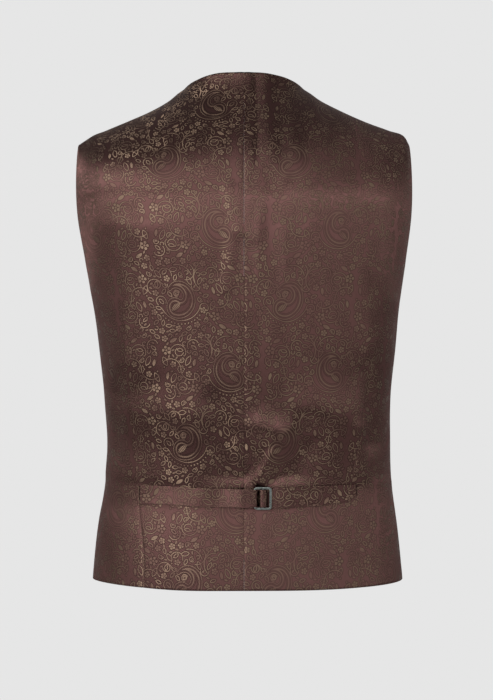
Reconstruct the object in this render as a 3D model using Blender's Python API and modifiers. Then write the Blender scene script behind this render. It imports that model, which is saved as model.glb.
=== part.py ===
"""Suit waistcoat in its worn shape with no wearer: two backs, two fronts, waist strap, slide, buttons.

Metres, +Z up. The wearer faces -Y, so the back is at +Y and the wearer's left is at +X. The origin is
midway between the shoulders that hold the waistcoat. Heights in the tables are above the back hem.
Every cloth panel is a wall between two skins: the outer skin follows the body sections and the yoke
curves below, and the inner skin is the outer one moved in along the cloth's normal.
"""

import math
from collections import namedtuple
from functools import cache, partial

import bpy
import numpy as np
from mathutils import Matrix, Vector

# ---- driving dimensions -------------------------------------------------------------------------

HELD_HEIGHT = 0.500      # the shoulders' middle, above the back hem
BLADE_HEIGHT = 0.400     # back sections below, yoke above
CHEST_HEIGHT = 0.340     # front sections below, shoulder part above
UNDERARM_HEIGHT = 0.299  # where the side seam meets the armhole
SEAM_GAP = 0.0003        # between neighbouring pieces
BACK_WALL = 0.0016       # satin with its own lining layer
FRONT_WALL = 0.0020      # suit cloth with canvas
CENTRE_BACK_X = 0.0026   # the centre-back seam hangs a little to the wearer's left

# Horizontal sections of the worn shape: half width, depth behind and in front of the side, squareness
# of the curve (2 is an ellipse), and how far the section's middle swings to the wearer's left.
Section = namedtuple("Section", "height half_width back front squareness sway")
SECTIONS = [
    Section(-0.040, 0.1700, 0.1112, 0.1100, 2.40, -0.0012),
    Section(0.000, 0.1684, 0.1068, 0.1120, 2.40, -0.0012),
    Section(0.030, 0.1659, 0.1027, 0.1130, 2.38, -0.0012),
    Section(0.060, 0.1625, 0.0984, 0.1140, 2.35, -0.0014),
    Section(0.072, 0.1607, 0.0967, 0.1144, 2.33, -0.0016),
    Section(0.084, 0.1586, 0.0952, 0.1149, 2.32, -0.0020),
    Section(0.093, 0.1572, 0.0950, 0.1153, 2.31, -0.0022),
    Section(0.102, 0.1561, 0.0952, 0.1156, 2.30, -0.0024),
    Section(0.115, 0.1551, 0.0970, 0.1160, 2.30, -0.0028),
    Section(0.125, 0.1545, 0.0985, 0.1163, 2.30, -0.0030),
    Section(0.150, 0.1539, 0.1022, 0.1170, 2.30, -0.0033),
    Section(0.200, 0.1558, 0.1087, 0.1190, 2.35, -0.0016),
    Section(0.250, 0.1612, 0.1137, 0.1215, 2.40, -0.0010),
    Section(0.300, 0.1666, 0.1171, 0.1235, 2.45, 0.0002),
    Section(0.350, 0.1760, 0.1187, 0.1220, 2.50, 0.0012),
    Section(0.400, 0.1840, 0.1172, 0.1150, 2.55, 0.0023),
    Section(0.440, 0.1850, 0.1130, 0.1050, 2.55, 0.0025),
]

# How far in front of or behind the side line each cloth edge runs, up the armhole.
EdgeDepth = namedtuple("EdgeDepth", "height back_edge front_edge")
ARMHOLE = [
    EdgeDepth(0.000, -0.008, -0.008),
    EdgeDepth(0.299, -0.008, -0.008),
    EdgeDepth(0.303, 0.002, -0.018),
    EdgeDepth(0.311, 0.013, -0.034),
    EdgeDepth(0.325, 0.024, -0.052),
    EdgeDepth(0.350, 0.032, -0.070),
    EdgeDepth(0.400, 0.038, -0.078),
]

# The top edge from the centre back to the shoulder tip: the neckline, then the shoulder seam. Sway is
# how far it hangs to the wearer's left there, lean the cloth's slope in degrees, 0 where it rolls over
# level, and reach how long the cloth keeps that slope.
TopEdge = namedtuple("TopEdge", "across depth height sway lean reach")
TOP_EDGE = [
    TopEdge(0.0000, 0.0450, 0.5460, 0.0000, 70.0, 0.050),
    TopEdge(0.0300, 0.0375, 0.5448, 0.0016, 66.0, 0.048),
    TopEdge(0.0480, 0.0255, 0.5408, 0.0002, 54.0, 0.042),
    TopEdge(0.0595, 0.0115, 0.5362, 0.0005, 30.0, 0.038),
    TopEdge(0.0670, 0.0000, 0.5310, 0.0005, 0.0, 0.036),
    TopEdge(0.0820, 0.0000, 0.5202, 0.0000, 0.0, 0.040),
    TopEdge(0.1020, 0.0000, 0.5091, -0.0011, 0.0, 0.046),
    TopEdge(0.1280, 0.0000, 0.4976, -0.0020, 0.0, 0.046),
    TopEdge(0.1540, 0.0000, 0.4876, -0.0032, 0.0, 0.038),
    TopEdge(0.1710, 0.0000, 0.4806, -0.0031, 0.0, 0.028),
    TopEdge(0.1800, 0.0000, 0.4715, 0.0006, 0.0, 0.018),
]
NECK_POINT = 0.0670      # where the shoulder seam meets the neckline
NECKLINE = [row for row in TOP_EDGE if row.across <= NECK_POINT]
SHOULDER_TIP = TOP_EDGE[-1].across
YOKE_RISE = 0.45         # how much of its rise the yoke keeps going straight up

# The long waist darts, from the hem up to their points, by their distance from the body's middle.
Dart = namedtuple("Dart", "height left right")
DARTS = [
    Dart(0.000, 0.1080, 0.1220),
    Dart(0.040, 0.1090, 0.1190),
    Dart(0.081, 0.1135, 0.1110),
    Dart(0.107, 0.1145, 0.1110),
    Dart(0.160, 0.1170, 0.1205),
    Dart(0.208, 0.1215, 0.1260),
    Dart(0.400, 0.1240, 0.1260),
]
DART_SHARE = 0.62        # the dart's share of the way from centre back to edge
DART_TOP = 0.205
DART_FADE = 0.030
DART_DEPTH = 0.0008
DART_HALF_WIDTH = 0.0025

# The largest folds of the back: lines on the cloth, seen from behind, out (+) or in (-).
Fold = namedtuple("Fold", "name x0 height0 x1 height1 half_width depth")
FOLDS = [
    Fold("pull_beside_slide", -0.006, 0.128, 0.003, 0.106, 0.010, -0.0026),
    Fold("pull_above_slide", -0.034, 0.145, -0.012, 0.110, 0.010, 0.0024),
    Fold("hollow_right_of_slide", -0.052, 0.170, -0.026, 0.112, 0.014, -0.0030),
    Fold("hollow_left_of_slide", 0.034, 0.200, 0.018, 0.118, 0.018, -0.0022),
    Fold("swell_above_slide", -0.034, 0.196, -0.032, 0.160, 0.018, 0.0018),
    Fold("drag_at_right_dart", -0.128, 0.225, -0.134, 0.150, 0.010, -0.0022),
    Fold("roll_beside_right_dart", -0.118, 0.165, -0.120, 0.110, 0.009, 0.0016),
    Fold("drag_at_left_waist", 0.132, 0.200, 0.138, 0.140, 0.010, -0.0020),
]
FOLDS_END = 0.1045       # the strap holds the cloth flat below this height
FOLDS_FADE = 0.012

# The fronts: closing edge, V neck, hem points.
OVERLAP = 0.012          # each front passes the middle by this much
V_HEIGHT = 0.290         # the V neck starts here
HEM_POINT_SPLIT = 0.050  # the closing edges part below this height
HEM_SPLIT_WIDTH = 0.030
HEM_SPLIT_CURVE = 1.6
LAP_LIFT = FRONT_WALL + 1.5 * SEAM_GAP
LAP_LEVEL_TO = 0.015     # the left front lies fully on the right one out to here
LAP_EASE_TO = 0.048      # and is back on the body from here
LAP_FADE_FROM = 0.335    # above the V neck's start the lap's lift fades away
LAP_FADE_TO = 0.420

# The hems' rise on either side of the body, by the share of the way from the middle of the back, or
# from the closing edge, to the side seam.
Hem = namedtuple("Hem", "share left right")
BACK_HEM = [
    Hem(0.00, -0.0030, -0.0030),
    Hem(0.45, -0.0028, -0.0025),
    Hem(0.62, -0.0014, -0.0016),
    Hem(0.80, 0.0009, -0.0001),
    Hem(1.00, 0.0017, 0.0016),
]
FRONT_HEM = [
    Hem(0.00, -0.0080, -0.0080),
    Hem(0.16, -0.0200, -0.0200),
    Hem(0.50, -0.0110, -0.0110),
    Hem(1.00, 0.0018, 0.0016),
]
HEM_EASE = 0.060         # the hem's slope is gone by this height

BUTTON_COUNT = 5
BUTTON_TOP_HEIGHT = 0.272
BUTTON_SPACING = 0.052
BUTTON_RADIUS = 0.0075
BUTTON_THICKNESS = 0.0030
BUTTON_DISH = 0.0007
BUTTON_SHANK_RADIUS = 0.0022
BUTTON_SHANK_LENGTH = 0.0010

STRAP_HEIGHT = 0.093     # middle of the waist strap
STRAP_HALF_WIDTH = 0.0105
STRAP_HALF_IN_SLIDE = 0.0092
STRAP_THICKNESS = 0.0010
STRAP_LIFT = 0.00045     # the strap's gap to the back under it
STRAP_LEFT_END = 0.1128  # its sewn ends, just short of the darts
STRAP_RIGHT_END = -0.1098

SLIDE_X = -0.0170        # the slide's middle, right of the body's middle
SLIDE_WIDTH = 0.0185
SLIDE_HEIGHT = 0.0237
SLIDE_BAR = 0.0022       # side bars and rails
SLIDE_MIDDLE_BAR = 0.0016
SLIDE_THICKNESS = 0.0016
SLIDE_CORNER = 0.0030
WINDOW_CORNER = 0.0010
SLIDE_RISE = 0.00410     # the slide's middle plane above the cloth
SLIDE_EDGE = 0.0004      # its rounding
NARROW_TO = 0.009        # within this of the slide the strap is gathered to go through it
NARROW_FROM = 0.014
FLAT_TO = 0.012          # within this of the slide the strap follows the slide's own plane
FLAT_FROM = 0.034

# How the strap halves go through the slide: across the body, and the share of the rise there.
WRAP_RADIUS = 0.5 * SLIDE_THICKNESS + SEAM_GAP + 0.5 * STRAP_THICKNESS + 0.0002
CLIMB_FROM_X = 0.0300
CLIMB_TO_SLIDE = [(0.022, 0.13), (0.014, 0.45), (0.007, 0.80), (0.000, 0.97)]
TURNED_UNDER = 0.0100    # the left half's end under itself
TAIL_LENGTH = 0.0180     # the right half's end past the slide's middle
OVER_MIDDLE_BAR = [
    (-0.0068, 0.00), (-0.0056, 0.10), (-0.0046, 0.34), (-0.0037, 0.66), (-0.0027, 0.90),
    (-0.0014, 0.99), (0.0000, 1.00), (0.0014, 0.99), (0.0025, 0.88), (0.0033, 0.60),
    (0.0040, 0.30), (0.0050, 0.07), (0.0064, 0.00),
]

# Steps for reading the slope of a surface.
SHARE_STEP = 0.012
LEVEL_STEP = 0.0005
HEIGHT_STEP = 0.004

SATIN = (0.127, 0.066, 0.056, 1.0)
SUIT_CLOTH = (0.060, 0.040, 0.034, 1.0)
GUNMETAL = (0.180, 0.205, 0.190, 1.0)
HORN = (0.030, 0.020, 0.016, 1.0)


# ---- the worn shape -----------------------------------------------------------------------------

def eased(rows, column, at):
    """The named column of a table at this value of its first column, with smooth slopes."""
    keys = np.array([row[0] for row in rows])
    values = np.array([getattr(row, column) for row in rows])
    slopes = np.gradient(values, keys)
    at = min(max(at, keys[0]), keys[-1])
    i = min(int(np.searchsorted(keys, at, side="right")) - 1, len(keys) - 2)
    span = keys[i + 1] - keys[i]
    t = (at - keys[i]) / span
    return float(
        values[i] * (1 + 2 * t) * (1 - t) ** 2
        + slopes[i] * span * t * (1 - t) ** 2
        + values[i + 1] * t * t * (3 - 2 * t)
        + slopes[i + 1] * span * t * t * (t - 1)
    )


def straight(rows, column, at):
    """The named column of a table, straight from row to row."""
    return float(np.interp(at, [row[0] for row in rows], [getattr(row, column) for row in rows]))


def smoothstep(low, high, value):
    t = min(max((value - low) / (high - low), 0.0), 1.0)
    return t * t * (3 - 2 * t)


class BodySection:
    """One horizontal section, as a curve from the centre back round the side to the centre front."""

    STEPS = 480

    def __init__(self, height):
        self.sway = eased(SECTIONS, "sway", height)
        power = 2.0 / eased(SECTIONS, "squareness", height)
        angle = np.linspace(0.0, math.pi, self.STEPS + 1)
        depth = np.where(
            angle < math.pi / 2, eased(SECTIONS, "back", height), eased(SECTIONS, "front", height)
        )
        self.x = eased(SECTIONS, "half_width", height) * np.abs(np.sin(angle)) ** power
        self.y = depth * np.sign(np.cos(angle)) * np.abs(np.cos(angle)) ** power
        steps = np.hypot(np.diff(self.x), np.diff(self.y))
        self.along = np.concatenate([[0.0], np.cumsum(steps)])
        self.side = self.STEPS // 2

    def from_back(self, distance):
        """The point this far round from the centre back, and past it on the other side if negative."""
        x = float(np.interp(abs(distance), self.along, self.x))
        return math.copysign(x, distance), float(np.interp(abs(distance), self.along, self.y))

    def from_front(self, distance):
        """The point this far round from the centre front."""
        back = self.along[-1] - abs(distance)
        x = float(np.interp(back, self.along, self.x))
        return math.copysign(x, distance), float(np.interp(back, self.along, self.y))

    def back_distance(self, x):
        """How far round from the centre back the section is this wide."""
        along = float(np.interp(abs(x), self.x[: self.side + 1], self.along[: self.side + 1]))
        return math.copysign(along, x)

    def front_distance(self, x):
        x_rising = self.x[self.side :][::-1]
        along = self.along[-1] - self.along[self.side :][::-1]
        return math.copysign(float(np.interp(abs(x), x_rising, along)), x)

    def distance_at_depth(self, depth):
        """How far round from the centre back the section is this far behind the side line."""
        return float(np.interp(-depth, -self.y, self.along))


@cache
def body_section(height):
    return BodySection(height)


def fold_at(x, height):
    """How far the back's folds push the cloth out at this place."""
    out = 0.0
    for fold in FOLDS:
        along_x, along_h = fold.x1 - fold.x0, fold.height1 - fold.height0
        length = math.hypot(along_x, along_h)
        t = ((x - fold.x0) * along_x + (height - fold.height0) * along_h) / length**2
        off = ((x - fold.x0) * along_h - (height - fold.height0) * along_x) / length
        past = max(-t, t - 1.0, 0.0) * length
        out += fold.depth * math.exp(-(off**2 + past**2) / fold.half_width**2)
    return out * smoothstep(FOLDS_END, FOLDS_END + FOLDS_FADE, height)


def placed(x, y, height):
    return np.array([x, y, height - HELD_HEIGHT])


def yoke_curve(start, below, end, lean, reach, t, towards):
    """A point on the curve that goes on from a section's edge and leans over to a top edge."""
    rising = (start - below) / np.linalg.norm(start - below)
    arriving = np.array([0.0, towards * math.cos(lean), math.sin(lean)])
    first = start + rising * YOKE_RISE * (end[2] - start[2])
    second = end - arriving * reach
    return (
        start * (1 - t) ** 3
        + first * 3 * t * (1 - t) ** 2
        + second * 3 * t * t * (1 - t)
        + end * t**3
    )


def top_point(side, across, towards):
    """The top edge at this distance from the middle, a hair short of the seam on its own side."""
    middle = eased(SECTIONS, "sway", BLADE_HEIGHT) + eased(TOP_EDGE, "sway", abs(across))
    depth = eased(NECKLINE, "depth", abs(across)) - towards * 0.5 * SEAM_GAP
    return placed(middle + side * across, depth, eased(TOP_EDGE, "height", abs(across)))


def of_side(side):
    """The table column for the wearer's left (1) or right (-1)."""
    return "left" if side > 0 else "right"


def with_hem(rows, side, share, height):
    """A row's height at this share of the way, following the hem's curve near the hem."""
    rise = eased(rows, of_side(side), share)
    return height + rise * (1 - smoothstep(0.0, HEM_EASE, height))


def back_low(side, nudge, share, row_height):
    """The back's outer skin below the blades, by its share of the way from centre back to edge."""
    height = with_hem(BACK_HEM, side, share, row_height)
    section = body_section(height)
    start = section.back_distance(side * (CENTRE_BACK_X - section.sway)) + 0.5 * SEAM_GAP
    from_middle = eased(DARTS, of_side(side), height)
    dart = section.back_distance(from_middle - side * section.sway)
    edge = section.distance_at_depth(straight(ARMHOLE, "back_edge", height)) - 0.5 * SEAM_GAP
    if share <= DART_SHARE:
        distance = start + (dart - start) * share / DART_SHARE
    else:
        distance = dart + (edge - dart) * (share - DART_SHARE) / (1 - DART_SHARE)
    x, y = section.from_back(distance + nudge)
    return placed(section.sway + side * x, y, height)


def back_point(side, nudge, share, level):
    """The back's outer skin without folds. Level 0 to 1 is hem to blades, 1 to 2 blades to top edge."""
    if level <= 1.0:
        return back_low(side, nudge, share, level * BLADE_HEIGHT)
    across = share * SHOULDER_TIP + nudge
    if share == 0.0:
        across = side * (CENTRE_BACK_X - eased(SECTIONS, "sway", BLADE_HEIGHT)) + 0.5 * SEAM_GAP
    return yoke_curve(
        back_low(side, nudge, share, BLADE_HEIGHT),
        back_low(side, nudge, share, BLADE_HEIGHT - HEIGHT_STEP),
        top_point(side, across, -1.0),
        math.radians(eased(TOP_EDGE, "lean", abs(across))),
        eased(TOP_EDGE, "reach", abs(across)),
        level - 1.0,
        -1.0,
    )


def front_edge(height):
    """How far past the middle the closing edge runs, then the V neck."""
    if height > V_HEIGHT:
        slope = (NECK_POINT + OVERLAP) / (NECKLINE[-1].height - V_HEIGHT)
        return -OVERLAP + (height - V_HEIGHT) * slope
    below = max(HEM_POINT_SPLIT - height, 0.0) / HEM_POINT_SPLIT
    return -OVERLAP + HEM_SPLIT_WIDTH * below**HEM_SPLIT_CURVE


def front_low(side, share, height):
    """The front's outer skin below the chest, by its share of the way from closing edge to side."""
    level = with_hem(FRONT_HEM, side, share, height)
    section = body_section(level)
    start = section.front_distance(front_edge(height))
    depth = straight(ARMHOLE, "front_edge", height)
    edge = section.along[-1] - section.distance_at_depth(depth) - 0.5 * SEAM_GAP
    x, y = section.from_front(start + (edge - start) * share)
    return placed(section.sway + side * x, y, level)


def front_point(side, share, level):
    """The front's outer skin. Level 0 to 1 is hem to chest, 1 to 2 chest to shoulder seam."""
    if level <= 1.0:
        return front_low(side, share, level * CHEST_HEIGHT)
    across = NECK_POINT + share * (SHOULDER_TIP - NECK_POINT)
    return yoke_curve(
        front_low(side, share, CHEST_HEIGHT),
        front_low(side, share, CHEST_HEIGHT - HEIGHT_STEP),
        top_point(side, across, 1.0),
        0.0,
        eased(TOP_EDGE, "reach", across),
        level - 1.0,
        1.0,
    )


def outward(point_at, share, level, turn):
    """The cloth's normal, from how the skin runs across and up. Turn is 1 where that order faces out."""
    across = point_at(share + SHARE_STEP, level) - point_at(share - SHARE_STEP, level)
    high = min(level + LEVEL_STEP, 1.0 if level <= 1.0 else 2.0)
    low = max(high - 2 * LEVEL_STEP, 0.0)
    up = point_at(share, high) - point_at(share, low)
    normal = np.cross(across, up) * turn
    return normal / np.linalg.norm(normal)


# ---- making the pieces --------------------------------------------------------------------------

def principled(name, colour, roughness, metallic=0.0):
    material = bpy.data.materials.new(name)
    material.use_nodes = True
    material.diffuse_color = colour
    shader = material.node_tree.nodes["Principled BSDF"]
    shader.inputs["Base Color"].default_value = colour
    shader.inputs["Roughness"].default_value = roughness
    shader.inputs["Metallic"].default_value = metallic
    return material


def add_object(name, mesh, material, parent):
    mesh.materials.append(material)
    piece = bpy.data.objects.new(name, mesh)
    parent["collection"].objects.link(piece)
    piece.parent = parent["empty"]
    return piece


def wall_mesh(name, outer, inner, flip):
    """A closed wall lofted between two skins, each a grid of points indexed [up][across]."""
    rows, columns = len(outer), len(outer[0])
    points = [tuple(p) for skin in (outer, inner) for row in skin for p in row]
    count = rows * columns

    def outer_at(i, j):
        return i * columns + j

    def inner_at(i, j):
        return count + i * columns + j

    faces = []
    for i in range(rows - 1):
        for j in range(columns - 1):
            faces.append((outer_at(i, j), outer_at(i, j + 1), outer_at(i + 1, j + 1), outer_at(i + 1, j)))
            faces.append((inner_at(i, j), inner_at(i + 1, j), inner_at(i + 1, j + 1), inner_at(i, j + 1)))
    rim = [(0, j) for j in range(columns)]
    rim += [(i, columns - 1) for i in range(1, rows)]
    rim += [(rows - 1, j) for j in range(columns - 2, -1, -1)]
    rim += [(i, 0) for i in range(rows - 2, 0, -1)]
    for (i, j), (k, m) in zip(rim, rim[1:] + rim[:1]):
        faces.append((outer_at(k, m), outer_at(i, j), inner_at(i, j), inner_at(k, m)))
    if flip:
        faces = [face[::-1] for face in faces]
    mesh = bpy.data.meshes.new(name)
    mesh.from_pydata(points, [], faces)
    mesh.shade_smooth()
    mesh.set_sharp_from_angle(angle=math.radians(50))
    return mesh


def across_stations():
    """The back's columns: even runs from centre back to neck point, dart and edge, two beside the dart."""
    neck = NECK_POINT / SHOULDER_TIP
    shares = list(np.linspace(0.0, neck, 8)) + list(np.linspace(neck, DART_SHARE, 6)[1:-1])
    stations = [(share, 0.0) for share in shares]
    stations += [(DART_SHARE, -DART_HALF_WIDTH), (DART_SHARE, 0.0), (DART_SHARE, DART_HALF_WIDTH)]
    stations += [(share, 0.0) for share in np.linspace(DART_SHARE, 1.0, 9)[1:]]
    return stations


def back_levels():
    heights = list(np.linspace(0.0, UNDERARM_HEIGHT, 18)) + [0.303, 0.311, 0.325, 0.350, 0.375]
    return [height / BLADE_HEIGHT for height in heights] + list(np.linspace(1.0, 2.0, 11))


def make_back(name, side, material, parent):
    outer, inner = [], []
    for level in back_levels():
        outer_row, inner_row = [], []
        for share, nudge in across_stations():
            skin = partial(back_point, side, nudge)
            point = skin(share, level)
            normal = outward(skin, share, level, -side)
            height = point[2] + HELD_HEIGHT
            if level < 1.0:
                point = point + normal * fold_at(point[0], height)
            inner_row.append(point - normal * BACK_WALL)
            if share == DART_SHARE and nudge == 0.0:
                point = point - normal * DART_DEPTH * smoothstep(DART_TOP, DART_TOP - DART_FADE, height)
            outer_row.append(point)
        outer.append(outer_row)
        inner.append(inner_row)
    return add_object(name, wall_mesh(name, outer, inner, side > 0), material, parent)


def lap_lift(side, point):
    """The left front lies on the right one where they lap."""
    if side < 0:
        return 0.0
    height = point[2] + HELD_HEIGHT
    eased_out = 1 - smoothstep(LAP_LEVEL_TO, LAP_EASE_TO, point[0])
    return LAP_LIFT * eased_out * (1 - smoothstep(LAP_FADE_FROM, LAP_FADE_TO, height))


def front_levels():
    heights = [0.0, 0.010, 0.022, 0.036, 0.050, 0.066]
    heights += list(np.linspace(0.066, V_HEIGHT, 12)[1:]) + [UNDERARM_HEIGHT, 0.303, 0.311, 0.325]
    return [height / CHEST_HEIGHT for height in heights] + list(np.linspace(1.0, 2.0, 12))


def make_front(name, side, material, parent):
    skin = partial(front_point, side)
    outer, inner = [], []
    for level in front_levels():
        outer_row, inner_row = [], []
        for share in np.linspace(0.0, 1.0, 17):
            point = skin(share, level)
            normal = outward(skin, share, level, side)
            point = point + normal * lap_lift(side, point)
            outer_row.append(point)
            inner_row.append(point - normal * FRONT_WALL)
        outer.append(outer_row)
        inner.append(inner_row)
    return add_object(name, wall_mesh(name, outer, inner, side < 0), material, parent)


def back_frame(x, height):
    """A place on the back's plain skin: the point, the way across and the way out."""
    def skin(at_x, at_height):
        section = body_section(at_height)
        y = section.from_back(section.back_distance(at_x - section.sway))[1]
        return placed(at_x, y, at_height)

    across = skin(x + HEIGHT_STEP, height) - skin(x - HEIGHT_STEP, height)
    up = skin(x, height + HEIGHT_STEP) - skin(x, height - HEIGHT_STEP)
    out = np.cross(up, across)
    return skin(x, height), across / np.linalg.norm(across), out / np.linalg.norm(out)


def make_strap(name, route, material, parent):
    """A flat band along the waist. The route is (x, rise) pairs for its middle line."""
    slide_point, slide_across, slide_out = back_frame(SLIDE_X, STRAP_HEIGHT)
    slide_up = np.cross(slide_across, slide_out)
    half = 0.5 * STRAP_THICKNESS
    outer, inner = [], []
    for i, (x, rise) in enumerate(route):
        before, after = route[max(i - 1, 0)], route[min(i + 1, len(route) - 1)]
        run = np.array([after[0] - before[0], after[1] - before[1]])
        run /= np.linalg.norm(run)
        off = np.array([-run[1], run[0]])
        near = 1 - smoothstep(FLAT_TO, FLAT_FROM, abs(x - SLIDE_X))
        gathered = 1 - smoothstep(NARROW_TO, NARROW_FROM, abs(x - SLIDE_X))
        width = STRAP_HALF_WIDTH + (STRAP_HALF_IN_SLIDE - STRAP_HALF_WIDTH) * gathered
        for skin, sign in ((outer, -1.0), (inner, 1.0)):
            at_x, at_rise = x + sign * half * off[0], rise + sign * half * off[1]
            row = []
            for share in (-1.0, 0.0, 1.0):
                level = STRAP_HEIGHT + share * width
                point, _, out = back_frame(at_x, level)
                on_body = point + out * at_rise
                on_slide = slide_point + slide_across * (at_x - SLIDE_X) + slide_out * at_rise
                on_slide = on_slide + slide_up * share * width
                row.append(on_body * (1 - near) + on_slide * near)
            skin.append(row)
    return add_object(name, wall_mesh(name, outer, inner, True), material, parent)


def arc(centre_x, centre_rise, radius, start, end, count):
    """Points round part of a circle in the strap's (x, rise) plane, angles in degrees."""
    angles = np.radians(np.linspace(start, end, count))
    return [(centre_x + radius * math.cos(a), centre_rise + radius * math.sin(a)) for a in angles]


def left_strap_route():
    """From the left dart to the slide's left bar, round it, and back under itself."""
    lying = STRAP_LIFT + 0.5 * STRAP_THICKNESS
    bar_x = SLIDE_X + 0.5 * (SLIDE_WIDTH - SLIDE_BAR)
    top = SLIDE_RISE + WRAP_RADIUS
    route = [(x, lying) for x in np.linspace(STRAP_LEFT_END, CLIMB_FROM_X, 12)]
    route += [(x, lying + share * (top - lying)) for x, share in CLIMB_TO_SLIDE]
    route += arc(bar_x, SLIDE_RISE, WRAP_RADIUS, 90.0, 270.0, 9)
    under = SLIDE_RISE - WRAP_RADIUS
    route += [(bar_x + 0.4 * TURNED_UNDER, under), (bar_x + TURNED_UNDER, under)]
    return route


def right_strap_route():
    """From the right dart under the right bar, over the middle bar, and under the left one."""
    lying = STRAP_LIFT + 0.5 * STRAP_THICKNESS
    crest = SLIDE_RISE + WRAP_RADIUS
    route = [(x, lying) for x in np.linspace(STRAP_RIGHT_END, SLIDE_X - TAIL_LENGTH, 12)]
    route += [(SLIDE_X + x, lying + share * (crest - lying)) for x, share in OVER_MIDDLE_BAR]
    route += [(SLIDE_X + 0.6 * TAIL_LENGTH, lying), (SLIDE_X + TAIL_LENGTH, lying)]
    return route


def rounded_rectangle(half_width, half_height, radius, count=5):
    corners = ((1, 1, 0.0), (-1, 1, 90.0), (-1, -1, 180.0), (1, -1, 270.0))
    points = []
    for sx, sy, start in corners:
        cx, cy = sx * (half_width - radius), sy * (half_height - radius)
        for angle in np.radians(np.linspace(start, start + 90.0, count)):
            points.append((cx + radius * math.cos(angle), cy + radius * math.sin(angle)))
    return points


def make_slide(name, material, parent):
    """The three-bar slide: a flat outline with its two windows, given its thickness."""
    curve = bpy.data.curves.new(name, "CURVE")
    curve.dimensions = "2D"
    curve.fill_mode = "BOTH"
    curve.extrude = 0.5 * SLIDE_THICKNESS - SLIDE_EDGE
    curve.bevel_depth = SLIDE_EDGE
    curve.bevel_resolution = 1
    window_width = (SLIDE_WIDTH - 2 * SLIDE_BAR - SLIDE_MIDDLE_BAR) / 2
    window_x = 0.5 * (SLIDE_MIDDLE_BAR + window_width)
    outlines = [(0.0, SLIDE_WIDTH, SLIDE_HEIGHT, SLIDE_CORNER, -SLIDE_EDGE)]
    for x in (-window_x, window_x):
        outlines.append((x, window_width, SLIDE_HEIGHT - 2 * SLIDE_BAR, WINDOW_CORNER, SLIDE_EDGE))
    for x, width, height, radius, grow in outlines:
        corners = rounded_rectangle(0.5 * width + grow, 0.5 * height + grow, radius + grow)
        spline = curve.splines.new("POLY")
        spline.points.add(len(corners) - 1)
        for point, (px, py) in zip(spline.points, corners):
            point.co = (px + x, py, 0.0, 1.0)
        spline.use_cyclic_u = True
    curve.materials.append(material)
    piece = bpy.data.objects.new(name, curve)
    parent["collection"].objects.link(piece)
    piece.parent = parent["empty"]
    place, across, out = back_frame(SLIDE_X, STRAP_HEIGHT)
    turn = Matrix((across, np.cross(out, across), out)).transposed()
    piece.location = Vector(place + out * SLIDE_RISE)
    piece.rotation_euler = turn.to_euler()
    return piece


def button_mesh(name):
    """Half the turned profile of a button, from the dished face down to its thread shank."""
    top = BUTTON_SHANK_LENGTH + BUTTON_THICKNESS
    profile = [
        (0.0, top - BUTTON_DISH),
        (0.60 * BUTTON_RADIUS, top - BUTTON_DISH),
        (0.76 * BUTTON_RADIUS, top),
        (0.92 * BUTTON_RADIUS, top),
        (BUTTON_RADIUS, top - 0.30 * BUTTON_THICKNESS),
        (0.90 * BUTTON_RADIUS, BUTTON_SHANK_LENGTH + 0.13 * BUTTON_THICKNESS),
        (BUTTON_SHANK_RADIUS, BUTTON_SHANK_LENGTH),
        (BUTTON_SHANK_RADIUS, 0.0),
        (0.0, 0.0),
    ]
    mesh = bpy.data.meshes.new(name)
    edges = [(i, i + 1) for i in range(len(profile) - 1)]
    mesh.from_pydata([(x, 0.0, z) for x, z in profile], edges, [])
    return mesh


def make_button(name, height, material, parent):
    piece = add_object(name, button_mesh(name), material, parent)
    turned = piece.modifiers.new("turned", "SCREW")
    turned.steps = turned.render_steps = 20
    turned.use_merge_vertices = True
    turned.merge_threshold = 0.00001
    skin = partial(front_point, 1.0)
    level = height / CHEST_HEIGHT
    shares = np.linspace(0.0, 0.3, 61)
    share = float(np.interp(0.0, [skin(s, level)[0] for s in shares], shares))
    point = skin(share, level)
    out = outward(skin, share, level, 1.0)
    seat = point + out * (lap_lift(1.0, point) + SEAM_GAP)
    piece.location = Vector(seat)
    piece.rotation_euler = Vector(out).to_track_quat("Z", "Y").to_euler()
    return piece


# ---- the waistcoat ------------------------------------------------------------------------------

for old in list(bpy.data.objects):
    bpy.data.objects.remove(old, do_unlink=True)

collection = bpy.data.collections.new("suit_waistcoat")
bpy.context.scene.collection.children.link(collection)
shoulders = bpy.data.objects.new("wearer_shoulders", None)
collection.objects.link(shoulders)
waistcoat = {"collection": collection, "empty": shoulders}

satin = principled("satin_jacquard", SATIN, 0.38)
suit_cloth = principled("suit_cloth", SUIT_CLOTH, 0.85)
gunmetal = principled("gunmetal", GUNMETAL, 0.35, 1.0)
horn = principled("dark_horn", HORN, 0.40)

make_back("back_left", 1.0, satin, waistcoat)
make_back("back_right", -1.0, satin, waistcoat)
make_front("front_left", 1.0, suit_cloth, waistcoat)
make_front("front_right", -1.0, suit_cloth, waistcoat)
make_strap("strap_left", left_strap_route(), satin, waistcoat)
make_strap("strap_right", right_strap_route(), satin, waistcoat)
make_slide("buckle", gunmetal, waistcoat)
for number in range(BUTTON_COUNT):
    button_height = BUTTON_TOP_HEIGHT - number * BUTTON_SPACING
    make_button(f"button_{number + 1}", button_height, horn, waistcoat)
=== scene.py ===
import math
from collections import namedtuple
from functools import cache, partial

import bmesh
import bpy
import numpy as np
from mathutils import Matrix, Vector


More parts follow.
